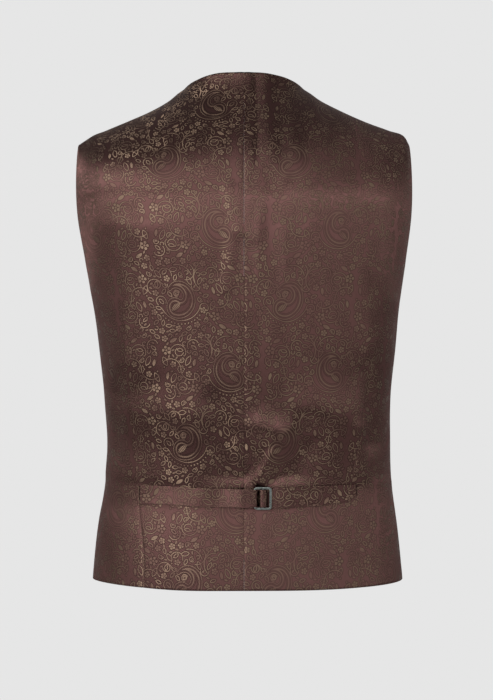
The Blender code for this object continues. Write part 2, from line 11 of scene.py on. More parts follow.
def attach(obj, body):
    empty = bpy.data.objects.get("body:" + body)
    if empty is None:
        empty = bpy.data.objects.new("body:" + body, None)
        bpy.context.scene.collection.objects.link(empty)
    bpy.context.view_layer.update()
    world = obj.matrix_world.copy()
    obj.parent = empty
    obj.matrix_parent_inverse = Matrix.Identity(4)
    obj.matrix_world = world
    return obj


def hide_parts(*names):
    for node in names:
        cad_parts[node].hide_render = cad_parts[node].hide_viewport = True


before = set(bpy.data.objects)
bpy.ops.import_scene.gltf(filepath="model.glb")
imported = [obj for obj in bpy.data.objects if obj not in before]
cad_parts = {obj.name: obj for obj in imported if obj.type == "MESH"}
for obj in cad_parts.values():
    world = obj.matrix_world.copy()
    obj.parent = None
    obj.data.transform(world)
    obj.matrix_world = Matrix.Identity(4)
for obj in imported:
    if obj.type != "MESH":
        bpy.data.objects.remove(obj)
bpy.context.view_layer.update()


# ---- Satin backs ---------------------------------------------------------------------------------
# Two panels of satin jacquard, joined at the centre back and shaped by one long dart each. They hang
# from the shoulder seams, hollow over the waist, and the strap draws them into small pulls.

SHOULDERS_ABOVE_HEM = 0.500   # the origin's height; all heights here are above the back hem
BLADE_ROW = 0.400         # sections below this height, the yoke above it
JUST_BELOW = 0.004        # from here up to the blades shows which way the cloth goes on
UNDERARM = 0.299
SEAM_GAP = 0.00006        # where two sewn edges meet
SEAM_X = 0.0026           # the centre-back seam hangs a little to the wearer's left
SATIN_WALL = 0.0015

Section = namedtuple("Section", "height half_width back front squareness sway")
SECTIONS = [
    Section(-0.040, 0.1700, 0.1112, 0.1100, 2.40, -0.0012),
    Section(0.000, 0.1684, 0.1068, 0.1120, 2.40, -0.0012),
    Section(0.030, 0.1659, 0.1027, 0.1130, 2.38, -0.0012),
    Section(0.060, 0.1625, 0.0984, 0.1140, 2.35, -0.0014),
    Section(0.072, 0.1607, 0.0967, 0.1144, 2.33, -0.0016),
    Section(0.084, 0.1586, 0.0952, 0.1149, 2.32, -0.0020),
    Section(0.093, 0.1572, 0.0950, 0.1153, 2.31, -0.0022),
    Section(0.102, 0.1561, 0.0952, 0.1156, 2.30, -0.0024),
    Section(0.115, 0.1551, 0.0970, 0.1160, 2.30, -0.0028),
    Section(0.125, 0.1545, 0.0985, 0.1163, 2.30, -0.0030),
    Section(0.150, 0.1539, 0.1022, 0.1170, 2.30, -0.0033),
    Section(0.200, 0.1558, 0.1087, 0.1190, 2.35, -0.0016),
    Section(0.250, 0.1612, 0.1137, 0.1215, 2.40, -0.0010),
    Section(0.300, 0.1666, 0.1171, 0.1235, 2.45, 0.0002),
    Section(0.350, 0.1760, 0.1187, 0.1220, 2.50, 0.0012),
    Section(0.400, 0.1840, 0.1172, 0.1150, 2.55, 0.0023),
    Section(0.440, 0.1850, 0.1130, 0.1050, 2.55, 0.0025),
]
EdgeDepth = namedtuple("EdgeDepth", "height back_edge front_edge")
ARMHOLE = [
    EdgeDepth(0.000, -0.008, -0.008),
    EdgeDepth(0.299, -0.008, -0.008),
    EdgeDepth(0.303, 0.002, -0.018),
    EdgeDepth(0.311, 0.013, -0.034),
    EdgeDepth(0.325, 0.024, -0.052),
    EdgeDepth(0.350, 0.032, -0.070),
    EdgeDepth(0.400, 0.038, -0.078),
]
TopEdge = namedtuple("TopEdge", "across depth height sway lean reach")
TOP_EDGE = [
    TopEdge(0.0000, 0.0450, 0.5460, 0.0000, 70.0, 0.050),
    TopEdge(0.0300, 0.0375, 0.5448, 0.0016, 66.0, 0.048),
    TopEdge(0.0480, 0.0255, 0.5408, 0.0002, 54.0, 0.042),
    TopEdge(0.0595, 0.0115, 0.5362, 0.0005, 30.0, 0.038),
    TopEdge(0.0670, 0.0000, 0.5310, 0.0005, 0.0, 0.036),
    TopEdge(0.0820, 0.0000, 0.5202, 0.0000, 0.0, 0.040),
    TopEdge(0.1020, 0.0000, 0.5091, -0.0011, 0.0, 0.046),
    TopEdge(0.1280, 0.0000, 0.4976, -0.0020, 0.0, 0.046),
    TopEdge(0.1540, 0.0000, 0.4876, -0.0032, 0.0, 0.038),
    TopEdge(0.1710, 0.0000, 0.4806, -0.0031, 0.0, 0.028),
    TopEdge(0.1800, 0.0000, 0.4715, 0.0006, 0.0, 0.018),
]
NECK_POINT = 0.0670
NECKLINE = [row for row in TOP_EDGE if row.across <= NECK_POINT]
SHOULDER_TIP = TOP_EDGE[-1].across
YOKE_RISE = 0.45
Dart = namedtuple("Dart", "height left right")
DARTS = [
    Dart(0.000, 0.1080, 0.1220),
    Dart(0.040, 0.1090, 0.1190),
    Dart(0.081, 0.1135, 0.1110),
    Dart(0.107, 0.1145, 0.1110),
    Dart(0.160, 0.1170, 0.1205),
    Dart(0.208, 0.1215, 0.1260),
    Dart(0.400, 0.1240, 0.1260),
]
DART_SHARE = 0.62
DART_TOP = 0.205
Hem = namedtuple("Hem", "share left right")
BACK_HEM = [
    Hem(0.00, -0.0030, -0.0030),
    Hem(0.45, -0.0028, -0.0025),
    Hem(0.62, -0.0014, -0.0016),
    Hem(0.80, 0.0009, -0.0001),
    Hem(1.00, 0.0017, 0.0016),
]
HEM_EASE = 0.060

# Creases as lines on the cloth seen from behind: half width, and how far out (+) or in (-) they lie.
Crease = namedtuple("Crease", "x0 height0 x1 height1 half_width depth")
CREASES = [
    # the pulls that the slide makes in the strap's width
    Crease(-0.006, 0.128, 0.003, 0.106, 0.008, -0.0034),
    Crease(-0.033, 0.143, -0.012, 0.110, 0.010, 0.0034),
    Crease(-0.066, 0.158, -0.040, 0.108, 0.018, -0.0040),
    Crease(0.034, 0.190, 0.018, 0.118, 0.018, -0.0020),
    Crease(-0.014, 0.168, -0.037, 0.161, 0.013, 0.0046),
    Crease(-0.070, 0.184, -0.100, 0.180, 0.026, 0.0034),
    Crease(0.120, 0.183, 0.060, 0.180, 0.024, 0.0028),
    # the slack at the wearer's left side
    Crease(0.112, 0.372, 0.120, 0.235, 0.026, 0.0030),
    Crease(0.122, 0.300, 0.122, 0.240, 0.020, 0.0024),
    # drags at the darts
    Crease(-0.128, 0.225, -0.134, 0.150, 0.010, -0.0022),
    Crease(-0.118, 0.165, -0.120, 0.110, 0.009, 0.0016),
    Crease(0.132, 0.200, 0.138, 0.140, 0.010, -0.0020),
]
CREASES_END = 0.1045      # the strap's upper edge, where these creases stop,
CREASES_FADE = 0.012      # and the height over which they do
FINE_CREASES_END = 0.1035
FINE_CREASES_FADE = 0.0065
FINE_CREASES = [
    # two slack folds hanging beside the centre seam
    Crease(0.018, 0.420, 0.009, 0.372, 0.007, 0.0010),
    Crease(0.009, 0.372, 0.021, 0.312, 0.007, 0.0011),
    Crease(0.026, 0.400, 0.031, 0.330, 0.009, -0.0007),
    Crease(-0.020, 0.408, -0.009, 0.366, 0.007, 0.0008),
    # small pulls round the slide
    Crease(-0.026, 0.142, -0.009, 0.112, 0.0035, 0.0010),
    Crease(-0.017, 0.136, -0.004, 0.108, 0.0035, -0.0009),
    Crease(-0.044, 0.132, -0.028, 0.108, 0.0050, -0.0008),
    Crease(0.012, 0.150, 0.006, 0.108, 0.0050, 0.0007),
]


def smooth_between(rows, keys, at):
    """Reads rows, each kept at its key, anywhere between them on a smooth curve."""
    i = np.clip(np.searchsorted(keys, at, side="right") - 1, 0, len(keys) - 2)
    wide = (-1,) + (1,) * (rows.ndim - 1)
    span = (keys[i + 1] - keys[i]).reshape(wide)
    t = ((at - keys[i]) / (keys[i + 1] - keys[i])).reshape(wide)
    slope = np.gradient(rows, keys, axis=0)
    return (
        rows[i] * (1 + 2 * t) * (1 - t) ** 2
        + slope[i] * span * t * (1 - t) ** 2
        + rows[i + 1] * t * t * (3 - 2 * t)
        + slope[i + 1] * span * t * t * (t - 1)
    )


def eased(rows, column, at):
    """The named column of a table at this value of its first column, with smooth slopes."""
    keys = np.array([row[0] for row in rows])
    values = np.array([getattr(row, column) for row in rows])
    return float(smooth_between(values, keys, np.array([min(max(at, keys[0]), keys[-1])]))[0])


def straight(rows, column, at):
    """The named column with straight lines between its rows."""
    return float(np.interp(at, [row[0] for row in rows], [getattr(row, column) for row in rows]))


def smoothstep(low, high, value):
    t = np.clip((value - low) / (high - low), 0.0, 1.0)
    return t * t * (3 - 2 * t)


class BodySection:
    """One level of the worn shape, as a curve from the centre back round the side to the front."""

    STEPS = 480

    def __init__(self, height):
        self.sway = eased(SECTIONS, "sway", height)
        power = 2.0 / eased(SECTIONS, "squareness", height)
        angle = np.linspace(0.0, math.pi, self.STEPS + 1)
        depth = np.where(
            angle < math.pi / 2, eased(SECTIONS, "back", height), eased(SECTIONS, "front", height)
        )
        self.x = eased(SECTIONS, "half_width", height) * np.abs(np.sin(angle)) ** power
        self.y = depth * np.sign(np.cos(angle)) * np.abs(np.cos(angle)) ** power
        self.along = np.concatenate([[0.0], np.cumsum(np.hypot(np.diff(self.x), np.diff(self.y)))])
        self.side = self.STEPS // 2

    def from_back(self, distance):
        x = float(np.interp(abs(distance), self.along, self.x))
        return math.copysign(x, distance), float(np.interp(abs(distance), self.along, self.y))

    def from_front(self, distance):
        back = self.along[-1] - abs(distance)
        x = float(np.interp(back, self.along, self.x))
        return math.copysign(x, distance), float(np.interp(back, self.along, self.y))

    def back_distance(self, x):
        along = float(np.interp(abs(x), self.x[: self.side + 1], self.along[: self.side + 1]))
        return math.copysign(along, x)

    def front_distance(self, x):
        rising = self.x[self.side :][::-1]
        along = self.along[-1] - self.along[self.side :][::-1]
        return math.copysign(float(np.interp(abs(x), rising, along)), x)

    def distance_at_depth(self, depth):
        return float(np.interp(-depth, -self.y, self.along))


@cache
def body_section(height):
    return BodySection(height)


def placed(x, y, height):
    return np.array([x, y, height - SHOULDERS_ABOVE_HEM])


def yoke_curve(start, below, end, lean, reach, t, towards):
    """A point on the cloth where it goes on up from the blades and leans over to a top edge."""
    rising = (start - below) / np.linalg.norm(start - below)
    arriving = np.array([0.0, towards * math.cos(lean), math.sin(lean)])
    first = start + rising * YOKE_RISE * (end[2] - start[2])
    second = end - arriving * reach
    return (
        start * (1 - t) ** 3
        + first * 3 * t * (1 - t) ** 2
        + second * 3 * t * t * (1 - t)
        + end * t**3
    )


def top_point(side, across, towards):
    middle = eased(SECTIONS, "sway", BLADE_ROW) + eased(TOP_EDGE, "sway", abs(across))
    depth = eased(NECKLINE, "depth", abs(across)) - towards * 0.5 * SEAM_GAP
    return placed(middle + side * across, depth, eased(TOP_EDGE, "height", abs(across)))


def of_side(side):
    return "left" if side > 0 else "right"


def with_hem(rows, side, share, height):
    rise = eased(rows, of_side(side), share)
    return height + rise * (1 - smoothstep(0.0, HEM_EASE, height))


def back_low(side, share, row_height):
    height = float(with_hem(BACK_HEM, side, share, row_height))
    section = body_section(height)
    start = section.back_distance(side * (SEAM_X - section.sway)) + 0.5 * SEAM_GAP
    dart = section.back_distance(eased(DARTS, of_side(side), height) - side * section.sway)
    edge = section.distance_at_depth(straight(ARMHOLE, "back_edge", height)) - 0.5 * SEAM_GAP
    distance = np.interp(share, (0.0, DART_SHARE, 1.0), (start, dart, edge))
    x, y = section.from_back(float(distance))
    return placed(section.sway + side * x, y, height)


def back_point(side, share, level):
    """The back's outer skin. Level 0 to 1 is hem to blades, 1 to 2 blades to top edge."""
    if level <= 1.0:
        return back_low(side, share, level * BLADE_ROW)
    across = share * SHOULDER_TIP
    if share == 0.0:
        across = side * (SEAM_X - eased(SECTIONS, "sway", BLADE_ROW)) + 0.5 * SEAM_GAP
    return yoke_curve(
        back_low(side, share, BLADE_ROW),
        back_low(side, share, BLADE_ROW - JUST_BELOW),
        top_point(side, across, -1.0),
        math.radians(eased(TOP_EDGE, "lean", abs(across))),
        eased(TOP_EDGE, "reach", abs(across)),
        level - 1.0,
        -1.0,
    )


def lengths(grid, axis):
    """How far each point of a grid is along its row (axis 1) or column (axis 0)."""
    steps = np.linalg.norm(np.diff(grid, axis=axis), axis=2)
    start = np.zeros_like(np.take(steps, [0], axis=axis))
    return np.concatenate([start, np.cumsum(steps, axis=axis)], axis=axis)


def skin_grid(point_at, levels, shares, fine_levels, fine_shares):
    """The skin as a fine grid [up][across], worked out on a coarse one and read between."""
    coarse = np.array([[point_at(share, level) for share in shares] for level in levels])
    up = lengths(coarse, 0)[:, len(shares) // 2]
    across = lengths(coarse, 1)[len(levels) // 3]
    fine = smooth_between(coarse, up, np.interp(fine_levels, levels, up))
    fine = smooth_between(np.moveaxis(fine, 1, 0), across, np.interp(fine_shares, shares, across))
    return np.moveaxis(fine, 0, 1)


def grid_normals(grid, turn):
    up = np.gradient(grid, axis=0)
    across = np.gradient(grid, axis=1)
    normal = np.cross(across, up) * turn
    return normal / np.maximum(np.linalg.norm(normal, axis=2, keepdims=True), 1e-12)


def crease_depth(creases, x, height):
    """How far a set of creases pushes the cloth out at each place."""
    out = np.zeros_like(x)
    for crease in creases:
        along_x, along_h = crease.x1 - crease.x0, crease.height1 - crease.height0
        length = math.hypot(along_x, along_h)
        t = ((x - crease.x0) * along_x + (height - crease.height0) * along_h) / length**2
        off = ((x - crease.x0) * along_h - (height - crease.height0) * along_x) / length
        past = np.maximum(np.maximum(-t, t - 1.0), 0.0) * length
        out += crease.depth * np.exp(-(off**2 + past**2) / crease.half_width**2)
    return out


SLACK_WAVES = 26
SLACK_DEPTH = 0.00042


def slack(x, height, seed):
    """The slight unevenness of hanging cloth: long soft waves, more up and down than across."""
    draws = np.random.default_rng(seed)
    out = np.zeros_like(x)
    for _ in range(SLACK_WAVES):
        across, up = draws.uniform(12, 75), draws.uniform(-34, 34)
        size = SLACK_DEPTH * draws.uniform(0.4, 1.0) * 30 / (across + abs(up) + 12)
        out += size * np.sin(across * x + up * height + draws.uniform(0, 2 * math.pi))
    return out


def groove(away, half_width, depth):
    """A line pressed in (-) or standing out (+), at this distance from it."""
    return depth * np.exp(-((away / half_width) ** 2))


def cloth_mesh(name, grid, across_cloth, up_cloth, inward=False, tube=False):
    """A sheet with this grid's places and its own flat cloth map in metres, or a closed band."""
    rows, columns = grid.shape[:2]
    bm = bmesh.new()
    bmesh.ops.create_grid(bm, x_segments=columns - 1, y_segments=rows - 1, size=1.0)
    cloth = bm.loops.layers.uv.new("cloth")
    for v in bm.verts:
        j = round((v.co.x + 1) / 2 * (columns - 1))
        i = round((v.co.y + 1) / 2 * (rows - 1))
        v.co = grid[i, j]
        for loop in v.link_loops:
            loop[cloth].uv = (across_cloth[i, j], up_cloth[i, j])
    if inward:
        bmesh.ops.reverse_faces(bm, faces=bm.faces[:])
    if tube:
        bmesh.ops.remove_doubles(bm, verts=bm.verts[:], dist=1e-6)
        bmesh.ops.holes_fill(bm, edges=[e for e in bm.edges if e.is_boundary], sides=0)
        bmesh.ops.recalc_face_normals(bm, faces=bm.faces[:])
    for face in bm.faces:
        face.smooth = True
    mesh = bpy.data.meshes.new(name)
    bm.to_mesh(mesh)
    bm.free()
    return mesh


def add_piece(name, mesh, material, replaced=()):
    mesh.materials.clear()
    mesh.materials.append(material)
    piece = bpy.data.objects.new(name, mesh)
    bpy.context.scene.collection.objects.link(piece)
    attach(piece, "root")
    if replaced:
        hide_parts(*replaced)
    return piece


def give_wall(piece, thickness):
    """Cloth thickness, inwards from the outer skin."""
    wall = piece.modifiers.new("wall", "SOLIDIFY")
    wall.thickness = thickness
    wall.offset = -1.0
    wall.use_even_offset = True


# The figure woven into the satin. Every shape is a distance in millimetres of cloth, below zero inside
# it, on a brick layout: a paisley with its scroll and spray in each brick, two bouquets beside it.

WHOLE_RING = -9.0         # how much of a ring is kept when it isn't cut
BRICK_WIDTH = 147.0
BRICK_HEIGHT = 75.0
BRICK_STEP = 51.5         # how far along the next row's paisleys lie
BOUQUET_FROM_FOLD = 21.75
LINE = 0.45               # half the width of a woven line
SOFT_LINES = 0.60         # how much a paisley's bands and the smallest fillings stand out
EDGE_OUT = 0.45           # the darker outline lies this far outside a line's own edge
LINE_EDGE = 3.0           # how sharply a line ends
GROUPS_SCALE = 52.0       # how large the fainter and livelier groups of motifs are
FAINTEST_GROUP = 0.30
THREAD_PITCH = 0.00030
THREAD_LENGTH = 0.0060
YARN_RISE = 0.00008
Arc = namedtuple("Arc", "x y radius toward keep")
Beads = namedtuple("Beads", "x y radius size count toward keep")
Leaf = namedtuple("Leaf", "x y length width turn solid")
Flower = namedtuple("Flower", "x y size petals turn")
Dot = namedtuple("Dot", "x y size")

PAISLEY_SPRIGS = [
    # the scroll under the paisley, curled at both ends, with its lace
    Arc(1.0, -2.0, 22.0, -88, 0.38),
    Arc(25.6, -10.8, 4.4, 75, -0.50),
    Arc(-19.0, -3.4, 5.2, 100, -0.55),
    Beads(1.0, -2.0, 25.6, 0.85, 44, -88, 0.62),
    # the tree beside it: trunk, cup, boughs and leaves
    Arc(34.0, 20.0, 15.5, 178, 0.72),
    Arc(19.6, 11.2, 4.4, -90, -0.15),
    Arc(11.0, 27.5, 9.0, -25, 0.25),
    Arc(3.0, 20.5, 14.0, 58, 0.72),
    Arc(29.5, 20.0, 10.5, 142, 0.55),
    Leaf(-1.5, 29.5, 8.5, 4.4, 10, False),
    Leaf(13.5, 17.5, 9.0, 4.0, 108, False),
    Leaf(24.5, 17.0, 8.0, 3.6, 62, False),
    # a vine on its other side
    Arc(-23.5, 11.0, 8.5, 130, -0.20),
    Arc(-21.5, 14.0, 4.0, -50, -0.55),
    Arc(-10.5, 24.5, 6.5, 70, 0.10),
    Leaf(-18.5, 25.0, 9.0, 4.2, 125, False),
]
BOUQUET = [
    Flower(0.0, 0.0, 3.8, 6, 0.0),
    Arc(11.0, 0.0, 11.0, 125, 0.10),
    Arc(3.0, 17.5, 8.5, 95, -0.20),
    Arc(1.5, 18.5, 4.4, -60, -0.30),
    Leaf(-8.0, 9.0, 11.0, 4.8, 115, False),
    Leaf(17.0, 8.5, 10.0, 4.6, 65, False),
    Leaf(-14.5, 7.0, 8.0, 3.2, 100, True),
    Leaf(8.0, 30.5, 9.0, 3.8, -30, True),
    Beads(15.5, 20.0, 3.3, 1.50, 5, 0, WHOLE_RING),
    Dot(15.5, 20.0, 1.1),
    Arc(-13.0, 25.0, 6.0, 60, -0.10),
    Leaf(-14.0, 22.5, 6.5, 3.0, 40, False),
]
PAISLEY_MIDDLE = 1.0       # the circle that the paisley's horn winds round lies this far up,
PAISLEY_WINDING = 12.6     # with this radius,
PAISLEY_BULB = 8.9         # and the horn is this wide at its heel
PAISLEY_START = -114       # where on the circle the heel lies, in degrees,
PAISLEY_SWEEP = 252        # and how far round the tail runs
PAISLEY_NARROW = 1.14      # the whole drop is drawn in by this across
FILLING_PITCH = 0.75       # the steps in which bare ground is looked for
BESIDE_PAISLEY = 30.0      # from here on the bouquets' own places are filled
BORDER_ROW = 6.0           # the border along the bricks' edges is filled by itself
NEXT_BRICK_COUNTS = 12.0   # what lies further into the next brick is left out of the count
FOLD_BARE = 0.8            # how much beside a bouquet's own edge stays bare
LEAST_ROOM = 1.95          # the least bare ground that still gets a motif
Filling = namedtuple("Filling", "bright soft")


def footprint(item):
    """Points along one drawn shape, with how far it reaches round each: rows of x, y, reach."""
    size = item.size if hasattr(item, "size") else LINE
    if isinstance(item, (Dot, Flower)):
        return [(item.x, item.y, size)]
    radius = item.length / 2 if isinstance(item, Leaf) else item.radius
    angles = np.linspace(0, 2 * math.pi, max(12, round(5 * radius)), endpoint=False)
    if isinstance(item, Leaf):
        turn = math.radians(item.turn)
        along, off = np.cos(angles) * radius, np.sin(angles) * item.width / 2
        x = along * math.cos(turn) - off * math.sin(turn)
        y = along * math.sin(turn) + off * math.cos(turn)
    else:
        angles = angles[np.cos(angles - math.radians(item.toward)) > item.keep]
        x, y = radius * np.cos(angles), radius * np.sin(angles)
    return [(item.x + a, item.y + b, size) for a, b in zip(x, y)]


def paisley_footprint():
    """The same for the paisley, as discs along its horn."""
    rows = []
    for share in np.linspace(0.0, 1.0, 22):
        angle = math.radians(PAISLEY_START + PAISLEY_SWEEP * share)
        x, y = PAISLEY_WINDING * math.cos(angle), PAISLEY_WINDING * math.sin(angle)
        rows.append((x / PAISLEY_NARROW, PAISLEY_MIDDLE + y, PAISLEY_BULB * (1 - share) ** 0.9 + 2.2))
    return rows


def wrapped(across):
    """The same place in the brick that repeats."""
    return np.mod(across + BRICK_WIDTH / 2, BRICK_WIDTH) - BRICK_WIDTH / 2


class BareGround:
    """How much bare ground lies round each place of one brick, with its neighbours counted in."""

    def __init__(self):
        half_width, half_height = BRICK_WIDTH / 2, BRICK_HEIGHT / 2
        across = np.linspace(-half_width, half_width, round(BRICK_WIDTH / FILLING_PITCH) + 1)
        up = np.linspace(-half_height, half_height, round(BRICK_HEIGHT / FILLING_PITCH) + 1)
        self.across, self.up = np.meshgrid(across, up)
        self.room = np.full(self.across.shape, BRICK_HEIGHT)
        to_border = half_height - np.abs(self.up)
        self.border = to_border < BORDER_ROW
        self.beside = (np.abs(self.across) > BESIDE_PAISLEY) & ~self.border
        along_border = np.where(self.up < 0, self.across, wrapped(BRICK_STEP - self.across))
        row_end = half_width - np.abs(along_border)
        from_fold = np.abs(np.abs(self.across) - (half_width - BOUQUET_FROM_FOLD))
        from_fold = np.minimum(BOUQUET_FROM_FOLD - from_fold - FOLD_BARE, np.abs(self.up))
        self.limit = np.where(self.border, row_end, to_border)
        self.limit = np.where(self.beside, np.minimum(self.limit, from_fold), self.limit)

    def take(self, group, rows):
        """Marks these places as drawn, wherever the group shows them in this brick and the next."""
        for x, y, reach in rows:
            places = [(x, y - BRICK_HEIGHT / 2 if group == "border" else y)]
            if group == "bouquet":
                places = [
                    (side * BOUQUET_FROM_FOLD + turn * x - BRICK_WIDTH / 2, turn * y)
                    for side in (1, -1) for turn in (1, -1)
                ]
            for u, v in places:
                next_u = BRICK_STEP - u
                for at, up in ((u, v), (next_u, v - BRICK_HEIGHT), (next_u, v + BRICK_HEIGHT)):
                    if abs(up) < BRICK_HEIGHT / 2 + NEXT_BRICK_COUNTS:
                        away = np.hypot(wrapped(self.across - at), self.up - up) - reach
                        self.room = np.minimum(self.room, away)

    def widest(self):
        """The barest place of all: its group, its x and y there, and its room."""
        columns = round((BRICK_WIDTH / 2 - BESIDE_PAISLEY) / FILLING_PITCH)
        right, left = self.room[:, -columns - 1 :], self.room[:, : columns + 1]
        both = np.minimum(right, left)
        both = np.minimum(both, both[::-1, ::-1])
        all_four = self.room.copy()
        all_four[:, -columns - 1 :], all_four[:, : columns + 1] = both, both
        room = np.minimum(np.where(self.beside, all_four, self.room), self.limit)
        best = np.unravel_index(np.argmax(room), room.shape)
        u, v = float(self.across[best]), float(self.up[best])
        if self.border[best]:
            x = u if v < 0 else float(wrapped(BRICK_STEP - u))
            return "border", x, v - math.copysign(BRICK_HEIGHT / 2, v), room[best]
        if self.beside[best]:
            x = u - math.copysign(BRICK_WIDTH / 2 - BOUQUET_FROM_FOLD, u)
            return "bouquet", math.copysign(x, x * v), abs(v), room[best]
        return "paisley", u, v, room[best]


def small_motif(x, y, room, draws):
    """A blossom, spiral, leaf, curl, seed or dot for this much room: its reach and its shapes."""
    pick, turn = draws.random(), 10 * int(draws.integers(0, 36))
    if room >= 3.9 and pick < 0.30:
        return 3.6, Filling([Beads(x, y, 2.3, 1.15, 5, 0, WHOLE_RING), Dot(x, y, 0.8)], [])
    if room >= 3.6 and pick < 0.65:
        return 3.4, Filling([Arc(x, y, 2.7, turn, -0.35), Arc(x, y, 1.1, turn + 150, -0.20)], [])
    if room >= 3.2:
        return 3.0, Filling([Leaf(x, y, 6.4, 3.2, turn / 2, False)], [])
    if room >= 2.5 and pick < 0.60:
        return 2.5, Filling([Arc(x, y, 1.9, turn, -0.45)], [])
    if room >= 2.1:
        return 2.0, Filling([], [Leaf(x, y, 4.2, 1.9, turn / 2, True)])
    return 1.2, Filling([], [Dot(x, y, 0.9)])


def filled_ground():
    """Fills the ground between the drawn motifs with small ones, the barest place first."""
    groups = {"paisley": Filling([], []), "bouquet": Filling([], []), "border": Filling([], [])}
    ground, draws = BareGround(), np.random.default_rng(11)
    ground.take("paisley", paisley_footprint())
    for item in PAISLEY_SPRIGS:
        ground.take("paisley", footprint(item))
    for item in BOUQUET:
        ground.take("bouquet", footprint(item))
    group, x, y, room = ground.widest()
    while room >= LEAST_ROOM:
        reach, motif = small_motif(x, y, room, draws)
        groups[group].bright.extend(motif.bright)
        groups[group].soft.extend(motif.soft)
        ground.take(group, [(x, y, reach)])
        group, x, y, room = ground.widest()
    return groups


def add_node(tree, kind, entries=(), **settings):
    """A new node with these settings. An entry is a number, a colour or another node's output."""
    node = tree.nodes.new("ShaderNode" + kind)
    for name, value in settings.items():
        setattr(node, name, value)
    for entry, value in dict(entries).items():
        if isinstance(value, bpy.types.NodeSocket):
            tree.links.new(value, node.inputs[entry])
        else:
            node.inputs[entry].default_value = value
    return node


@cache
def arithmetic(tree, kind, operation, output, *entries):
    """The output of a node that works on these entries. The same one isn't made twice."""
    settings = {"operation": operation} if operation else {}
    return add_node(tree, kind, enumerate(entries), **settings).outputs[output]


class Weave:
    """A number worked out by nodes at each place on the cloth."""

    def __init__(self, tree, socket):
        self.tree, self.socket = tree, socket

    def math(self, operation, *others):
        entries = [other.socket if isinstance(other, Weave) else other for other in others]
        return Weave(self.tree, arithmetic(self.tree, "Math", operation, 0, self.socket, *entries))

    def clamped(self):
        return self.math("MAXIMUM", 0.0).math("MINIMUM", 1.0)

    def __add__(self, other):
        return self.math("ADD", other)

    def __sub__(self, other):
        return self.math("SUBTRACT", other)

    def __mul__(self, other):
        return self.math("MULTIPLY", other)

    def __abs__(self):
        return self.math("ABSOLUTE")

    def times_plus(self, factor, added):
        return self.math("MULTIPLY_ADD", factor, added)

    def least(self, other):
        return self.math("MINIMUM", other)

    def most(self, other):
        return self.math("MAXIMUM", other)


class Place:
    """A place on the cloth in millimetres, as one vector with its two numbers."""

    def __init__(self, tree, across, up):
        self.tree, self.across, self.up = tree, across, up
        self.socket = arithmetic(tree, "CombineXYZ", "", 0, across.socket, up.socket)

    def measured(self, operation, x, y):
        entries = (self.socket, (x, y, 0.0))
        return Weave(self.tree, arithmetic(self.tree, "VectorMath", operation, "Value", *entries))

    def from_point(self, x, y):
        return self.measured("DISTANCE", x, y)

    def towards(self, x, y):
        return self.measured("DOT_PRODUCT", x, y)

    def kept_towards(self, item):
        """Below zero on the kept side of a straight cut through a ring."""
        a = math.radians(item.toward)
        kept = math.cos(a) * item.x + math.sin(a) * item.y + item.keep * item.radius
        return self.towards(-math.cos(a), -math.sin(a)) + kept

    def angle_round(self, x, y):
        return (self.up - y).math("ARCTAN2", self.across - x)

    def shape(self, item):
        """How far this place is from one drawn shape, counted from the middle of its line."""
        if isinstance(item, Dot):
            return self.from_point(item.x, item.y) - (item.size - LINE)
        if isinstance(item, Arc):
            ring = abs(self.from_point(item.x, item.y) - item.radius)
            return ring if item.keep == WHOLE_RING else ring.most(self.kept_towards(item))
        if isinstance(item, Beads):
            turn = self.angle_round(item.x, item.y) * (item.count / (2 * math.pi))
            step = turn.math("WRAP", 0.5, -0.5) * (2 * math.pi * item.radius / item.count)
            reach = self.from_point(item.x, item.y) - item.radius
            bead = Place(self.tree, step, reach).from_point(0.0, 0.0) - (item.size - LINE)
            return bead if item.keep == WHOLE_RING else bead.most(self.kept_towards(item))
        if isinstance(item, Leaf):
            a, half_length, half_width = math.radians(item.turn), item.length / 2, item.width / 2
            radius = (half_length**2 + half_width**2) / (2 * half_width)
            x, y = -math.sin(a) * (radius - half_width), math.cos(a) * (radius - half_width)
            one = self.from_point(item.x + x, item.y + y)
            inside = one.most(self.from_point(item.x - x, item.y - y)) - radius
            return inside + LINE if item.solid else abs(inside)
        reach = self.from_point(item.x, item.y)
        wave = self.angle_round(item.x, item.y).times_plus(item.petals / 2, item.turn)
        edge = reach - abs(wave.math("COSINE")).times_plus(0.38 * item.size, 0.62 * item.size)
        return abs(edge).least(reach - (0.9 - LINE))


def bricks(tree, across, up, shift):
    """Folds the cloth so that every brick repeats the first; each next row lies a step along and
    faces the other way."""
    row = (up * (1 / BRICK_HEIGHT)).math("ROUND")
    within = row.times_plus(-BRICK_HEIGHT, up)
    odd = row.math("FLOORED_MODULO", 2.0)
    along = odd.times_plus(-BRICK_STEP, across + shift)
    along = along.math("WRAP", BRICK_WIDTH / 2, -BRICK_WIDTH / 2)
    return Place(tree, along * odd.times_plus(-2.0, 1.0), within)


def bouquets(brick):
    """Two bouquets side by side; below the middle each is turned half round."""
    turn, pair = brick.up.math("SIGN"), 2 * BOUQUET_FROM_FOLD
    along = brick.across.most(-pair).least(pair).math("WRAP", pair, 0.0)
    return Place(brick.tree, (along - BOUQUET_FROM_FOLD) * turn, brick.up * turn)


